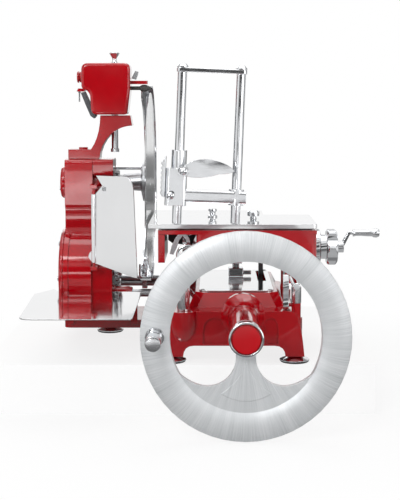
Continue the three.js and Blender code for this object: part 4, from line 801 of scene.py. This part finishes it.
# ---- small fittings: plates have an outline of (x, z), a front and a back y, and a rounding
plateUser = {
    "head_lip": {
        "outline": [(-288, 432), (-275, 432), (-271, 437), (-285, 437.5)], "y": (-15, 15), "round": 1.2,
        "kind": ("head", "red", "red")},
    "stone_scraper": {
        "outline": [(-281, 430), (-274, 431.5), (-266, 414), (-254, 389), (-258, 384.5), (-264, 389),
                    (-273, 410)],
        "y": (-13, 11), "round": 1.0, "kind": ("head", "steel", "iron")},
    "head_latch": {
        "outline": [(-191.5, 455), (-184, 453), (-181, 461), (-179.5, 467), (-184.5, 468.5), (-188, 462)],
        "y": (-9, 7), "round": 1.0, "kind": ("head", "steel", "steel")},
    # painted shade: a near-black plate behind the links darkens the carriage's window
    "link_plate": {
        "outline": [(-126, 195.4), (-126, 172), (-118, 166), (-92, 163), (-62, 166), (-52, 172),
                    (-52, 195.4)],
        "y": (-44, -40), "round": 0.8, "kind": ("carriage", "iron", "inkAndShade")},
    "link_left": {
        "outline": [(-120, 160), (-114, 158), (-109, 168), (-104, 182), (-98, 190), (-92, 182), (-89, 170),
                    (-84, 172), (-87, 186), (-94, 195), (-104, 195), (-111, 186), (-117, 172)],
        "y": (-137, -129), "round": 2.2, "kind": ("carriage", "chrome", "chrome")},
    "link_right": {
        "outline": [(-84, 164), (-78, 162), (-75, 174), (-71, 185), (-66, 190), (-60, 184), (-56, 174),
                    (-50, 176), (-54, 188), (-62, 195), (-70, 195), (-77, 187), (-82, 175)],
        "y": (-112, -104), "round": 2.2, "kind": ("carriage", "chrome", "chrome")},
}
nutProfile = [(0, 0), (0, 6.4), (2.4, 6.4), (3, 5.2), (4.6, 4.6), (6, 3), (6.5, 0)]
turnedUser = {  # profiles of (along, radius) from a place along an axis
    "link_ring": {
        "profile": [(0, 13), (0, 17), (1.5, 19), (5, 19), (6.5, 17), (6.5, 13), (0, 13)], "axis": "+y",
        "place": (-90, -150, 159), "sides": 40, "kind": ("carriage", "chrome", "chrome")},
    "shaft_housing": {
        "profile": [(0, 7.6), (0, 14.5), (3, 14.5), (4, 12.5), (26, 12.5), (30, 11), (33, 10.5), (33, 7.6)],
        "axis": "+x", "place": (-222.8, -32, 76.5), "sides": 36, "kind": ("base", "red", "red")},
    "leaf_nut": {
        "profile": nutProfile, "axis": "-y", "place": (-95.8, -185.9, 301.3), "sides": 28,
        "kind": ("leaf", "chrome", "chrome")},
    "beam_nut": {
        "profile": nutProfile, "axis": "-y", "place": (-117, -187.9, 262), "sides": 28,
        "kind": ("press", "chrome", "chrome")},
    "deflector_screw": {
        "profile": [(0, 0), (0, 4.6), (1.0, 4.6), (1.8, 3.8), (1.8, 1.2), (1.1, 1.2), (1.1, 0)], "axis": "-y",
        "place": (-232, -95.5, 266), "sides": 28, "kind": ("deflector", "steel", "steel")},
    "scraper_pin": {
        "profile": [(0, 0), (0, 1.3), (15, 1.3), (16, 2.2), (19, 2.2), (19, 0)], "axis": "+z",
        "place": (-284, -6, 414), "sides": 16, "kind": ("head", "steel", "steel")},
    "button_flange": {
        "profile": [(0, 0), (0, 8.8), (1.2, 10), (4.2, 10), (5.4, 8.6), (5.4, 0)], "axis": "+x",
        "place": (-283.6, 0, 458), "sides": 28, "kind": ("head", "red", "red")},
}
fittingFold = 40  # degrees, the fold above which a fitting's edge stays sharp
bevelFrom = 0.9  # radians, the fold above which a plate's edge is rounded


def fitPlate(name, user):
    body, slot, finish = user["kind"]
    front, back = user["y"]
    solid = bmesh.new()
    turned = Matrix.Translation((0, back, 0)) @ Matrix.Rotation(math.pi / 2, 4, "X")
    slab(solid, user["outline"], back - front, turned)
    sharp = [edge for edge in solid.edges if edge.calc_face_angle(0) > bevelFrom]
    bmesh.ops.bevel(solid, geom=sharp, offset=user["round"], segments=3, affect="EDGES", profile=0.5,
                    clamp_overlap=True)
    newPiece(name, meshFrom(name, solid, fittingFold), body, finish)


def fitTurned(name, user):
    body, slot, finish = user["kind"]
    solid = bmesh.new()
    lathe(solid, user["profile"], user["sides"], facing(user["axis"], *user["place"]))
    newPiece(name, meshFrom(name, solid, fittingFold), body, finish)


for name, user in plateUser.items():
    fitPlate(name, user)
for name, user in turnedUser.items():
    fitTurned(name, user)
print("stage: fittings added")

# ---- stage, light and camera
pureWhite = (1, 1, 1, 1)
stageUser = {
    "floor": -0.0785, "floorSize": (14, 14, 0.002), "floorCentre": (0, 2.5),
    "plinth": -0.0004, "plinthSize": (0.62, 0.52), "plinthCentre": (-0.1, 0.0),
    "paper": (0.86, 0.86, 0.86, 1), "paperTint": (0.9, 0.9, 0.9, 1), "cloud": (3, 2), "cloudShare": 0.2,
    "rough": 0.8,
    "fade": ((0.3, 0.82), (0.75, 1.0)),
    "glowReach": 0.25, "glow": ((0.0, 0.5), (0.09, 0.45), (0.14, 0.16), (0.3, 0.16), (0.42, 0.9)),
    "flagReach": 0.1, "flags": ((0.15, 1.0), (0.17, 0.2), (0.2, 0.2), (0.22, 0.75), (0.24, 0.25), (0.3, 0.12),
                                (0.33, 0.5), (0.36, 0.15), (0.47, 0.2), (0.5, 0.8), (0.53, 0.2), (0.8, 0.3),
                                (0.9, 1.0)),
}


# fades to plain white away from the part, so that no horizon shows, and gives reflections a grey that
# falls off with the distance, crossed by dark flags behind the part
def makePaleCard():
    user = stageUser
    material, g = newFinish("paleCard")
    spot = g.place()
    cloud = g.noise(spot, *user["cloud"])
    away = g.node("ShaderNodeVectorMath", {"operation": "LENGTH"}, {0: spot}, out="Value")
    fade = g.ramp(away, *user["fade"])
    ray = g.node("ShaderNodeLightPath", out="Is Camera Ray")
    colour = g.tint(cloud * user["cloudShare"], user["paper"], user["paperTint"])
    paper = g.principled({"Base Color": colour, "Roughness": user["rough"]})
    white = g.node("ShaderNodeEmission", {}, {"Color": pureWhite, "Strength": 1.0})
    behind = g.node("ShaderNodeSeparateXYZ", {}, {"Vector": spot}, out="Y")
    mirrored = g.ramp(away * user["glowReach"], *user["glow"])
    flags = g.ramp(behind * user["flagReach"], *user["flags"])
    glow = g.node("ShaderNodeEmission", {}, {"Color": mirrored * flags, "Strength": 1.0})
    paper = g.node("ShaderNodeMixShader", {}, {0: ray.output("Is Glossy Ray"), 1: paper, 2: glow})
    g.close(g.node("ShaderNodeMixShader", {}, {0: fade * ray, 1: paper, 2: white}))
    return material


def makeCard(name, size, centre, material):
    solid = bmesh.new()
    bmesh.ops.create_cube(solid, size=1)
    bmesh.ops.scale(solid, vec=size, verts=solid.verts)
    bmesh.ops.translate(solid, vec=centre, verts=solid.verts)
    mesh = bpy.data.meshes.new(name)
    solid.to_mesh(mesh)
    solid.free()
    mesh.materials.append(material)
    card = bpy.data.objects.new(name, mesh)
    bpy.context.scene.collection.objects.link(card)


def makeStage():  # the floor under the flywheel, and the plinth that the feet stand on
    user = stageUser
    card = makePaleCard()
    thick, high = user["floorSize"][2], -user["floor"]
    makeCard("floor", user["floorSize"], (*user["floorCentre"], user["floor"] - thick / 2), card)
    makeCard("plinth", (*user["plinthSize"], high), (*user["plinthCentre"], user["plinth"] - high / 2), card)


worldUser = {  # greys over the way a reflection looks: Y for around and front, X for sides, Z for the rest
    "ambient": (0.36, 0.36, 0.36, 1),
    "around": ((0.0, 0.0), (0.05, 0.0), (0.065, 0.1), (0.085, 1.0), (0.5, 1.0), (0.55, 0.05), (0.7, 0.05),
               (0.75, 1.0)),
    "window": ((0.36, 0.07), (0.385, 1.0), (0.475, 1.0), (0.492, 0.07), (0.75, 0.07), (0.8, 0.8)),
    "front": ((0.05, 1.0), (0.07, 0.0)),
    "sides": ((0.0, 1.0), (0.16, 0.8), (0.24, 0.25), (0.3, 1.0), (0.7, 1.0), (0.82, 0.85), (0.86, 0.4),
              (0.92, 1.0)),
    "sky": ((0.0, 0.8), (0.4, 0.9), (0.5, 0.96), (0.56, 1.0), (0.72, 0.85), (0.77, 0.2), (0.83, 1.0)),
    "steep": ((0.4, 0.0), (0.7, 1.0)),
}


def makeWorld():  # white to the camera; reflections see soft boxes with dark gaps between them
    user = worldUser
    world = bpy.data.worlds.new("studio")
    world.use_nodes = True
    world.node_tree.nodes.clear()
    bpy.context.scene.world = world
    g = Graph(world.node_tree)
    way = g.node("ShaderNodeTexCoord", out="Generated")
    across = g.node("ShaderNodeSeparateXYZ", {}, {"Vector": way})
    height = across.output("Z")
    depth = across.output("Y") * 0.5 + 0.5
    around = g.ramp(depth, *user["around"])
    window = g.ramp(height + 0.5, *user["window"])
    inFront = g.ramp(depth, *user["front"])
    leftRight = g.ramp(across * 0.5 + 0.5, *user["sides"])
    walls = around * leftRight + inFront * window
    sky = g.ramp(height * 0.5 + 0.5, *user["sky"])
    steep = g.ramp(height * height, *user["steep"])
    opened = walls + steep - walls * steep
    multiply = {"data_type": "RGBA", "blend_type": "MULTIPLY"}
    mirrored = g.node("ShaderNodeMix", multiply, {0: 1.0, 6: sky, 7: opened}, out=2)
    ray = g.node("ShaderNodeLightPath", out="Is Camera Ray")
    shade = g.tint(ray.output("Is Glossy Ray"), user["ambient"], mirrored)
    light = g.node("ShaderNodeBackground", {}, {"Color": g.tint(ray, shade, pureWhite), "Strength": 1.0})
    g.node("ShaderNodeOutputWorld", {}, {"Surface": light})


lampTarget = Vector((-0.06, -0.15, 0.2))
lampUser = {  # place, side of the square, watts
    "key": ((-1.3, -2.3, 1.7), 1.3, 42),
    "fill": ((1.9, -2.0, 0.6), 1.4, 13),
    "window": ((-0.6, -3.0, 0.035), 0.27, 0.85),
    "top": ((0.2, 0.2, 2.6), 2.0, 26),
    "back": ((-0.8, 2.2, 1.6), 1.4, 14),
}


def makeLamps():
    for name, (place, size, watts) in lampUser.items():
        lamp = bpy.data.lights.new(name, "AREA")
        lamp.shape = "SQUARE"
        lamp.size = size
        lamp.energy = watts
        holder = bpy.data.objects.new(name, lamp)
        holder.location = place
        holder.rotation_euler = (lampTarget - Vector(place)).to_track_quat("-Z", "Y").to_euler()
        bpy.context.scene.collection.objects.link(holder)


cameraUser = {"place": (-0.049, -2.075, 0.417), "tilt": 4.2, "lens": 83.8, "sensor": 36,
              "shift": (-0.024, -0.129), "far": 60}


def makeCamera():
    user = cameraUser
    camera = bpy.data.cameras.new("view")
    camera.lens = user["lens"]
    camera.sensor_width = user["sensor"]
    camera.shift_x, camera.shift_y = user["shift"]
    camera.clip_end = user["far"]
    holder = bpy.data.objects.new("view", camera)
    holder.location = user["place"]
    holder.rotation_euler = (math.radians(90 - user["tilt"]), 0, 0)
    bpy.context.scene.collection.objects.link(holder)
    bpy.context.scene.camera = holder


makeStage()
makeWorld()
makeLamps()
makeCamera()
bpy.context.scene.view_settings.view_transform = "Standard"
print("stage: lights and camera set")
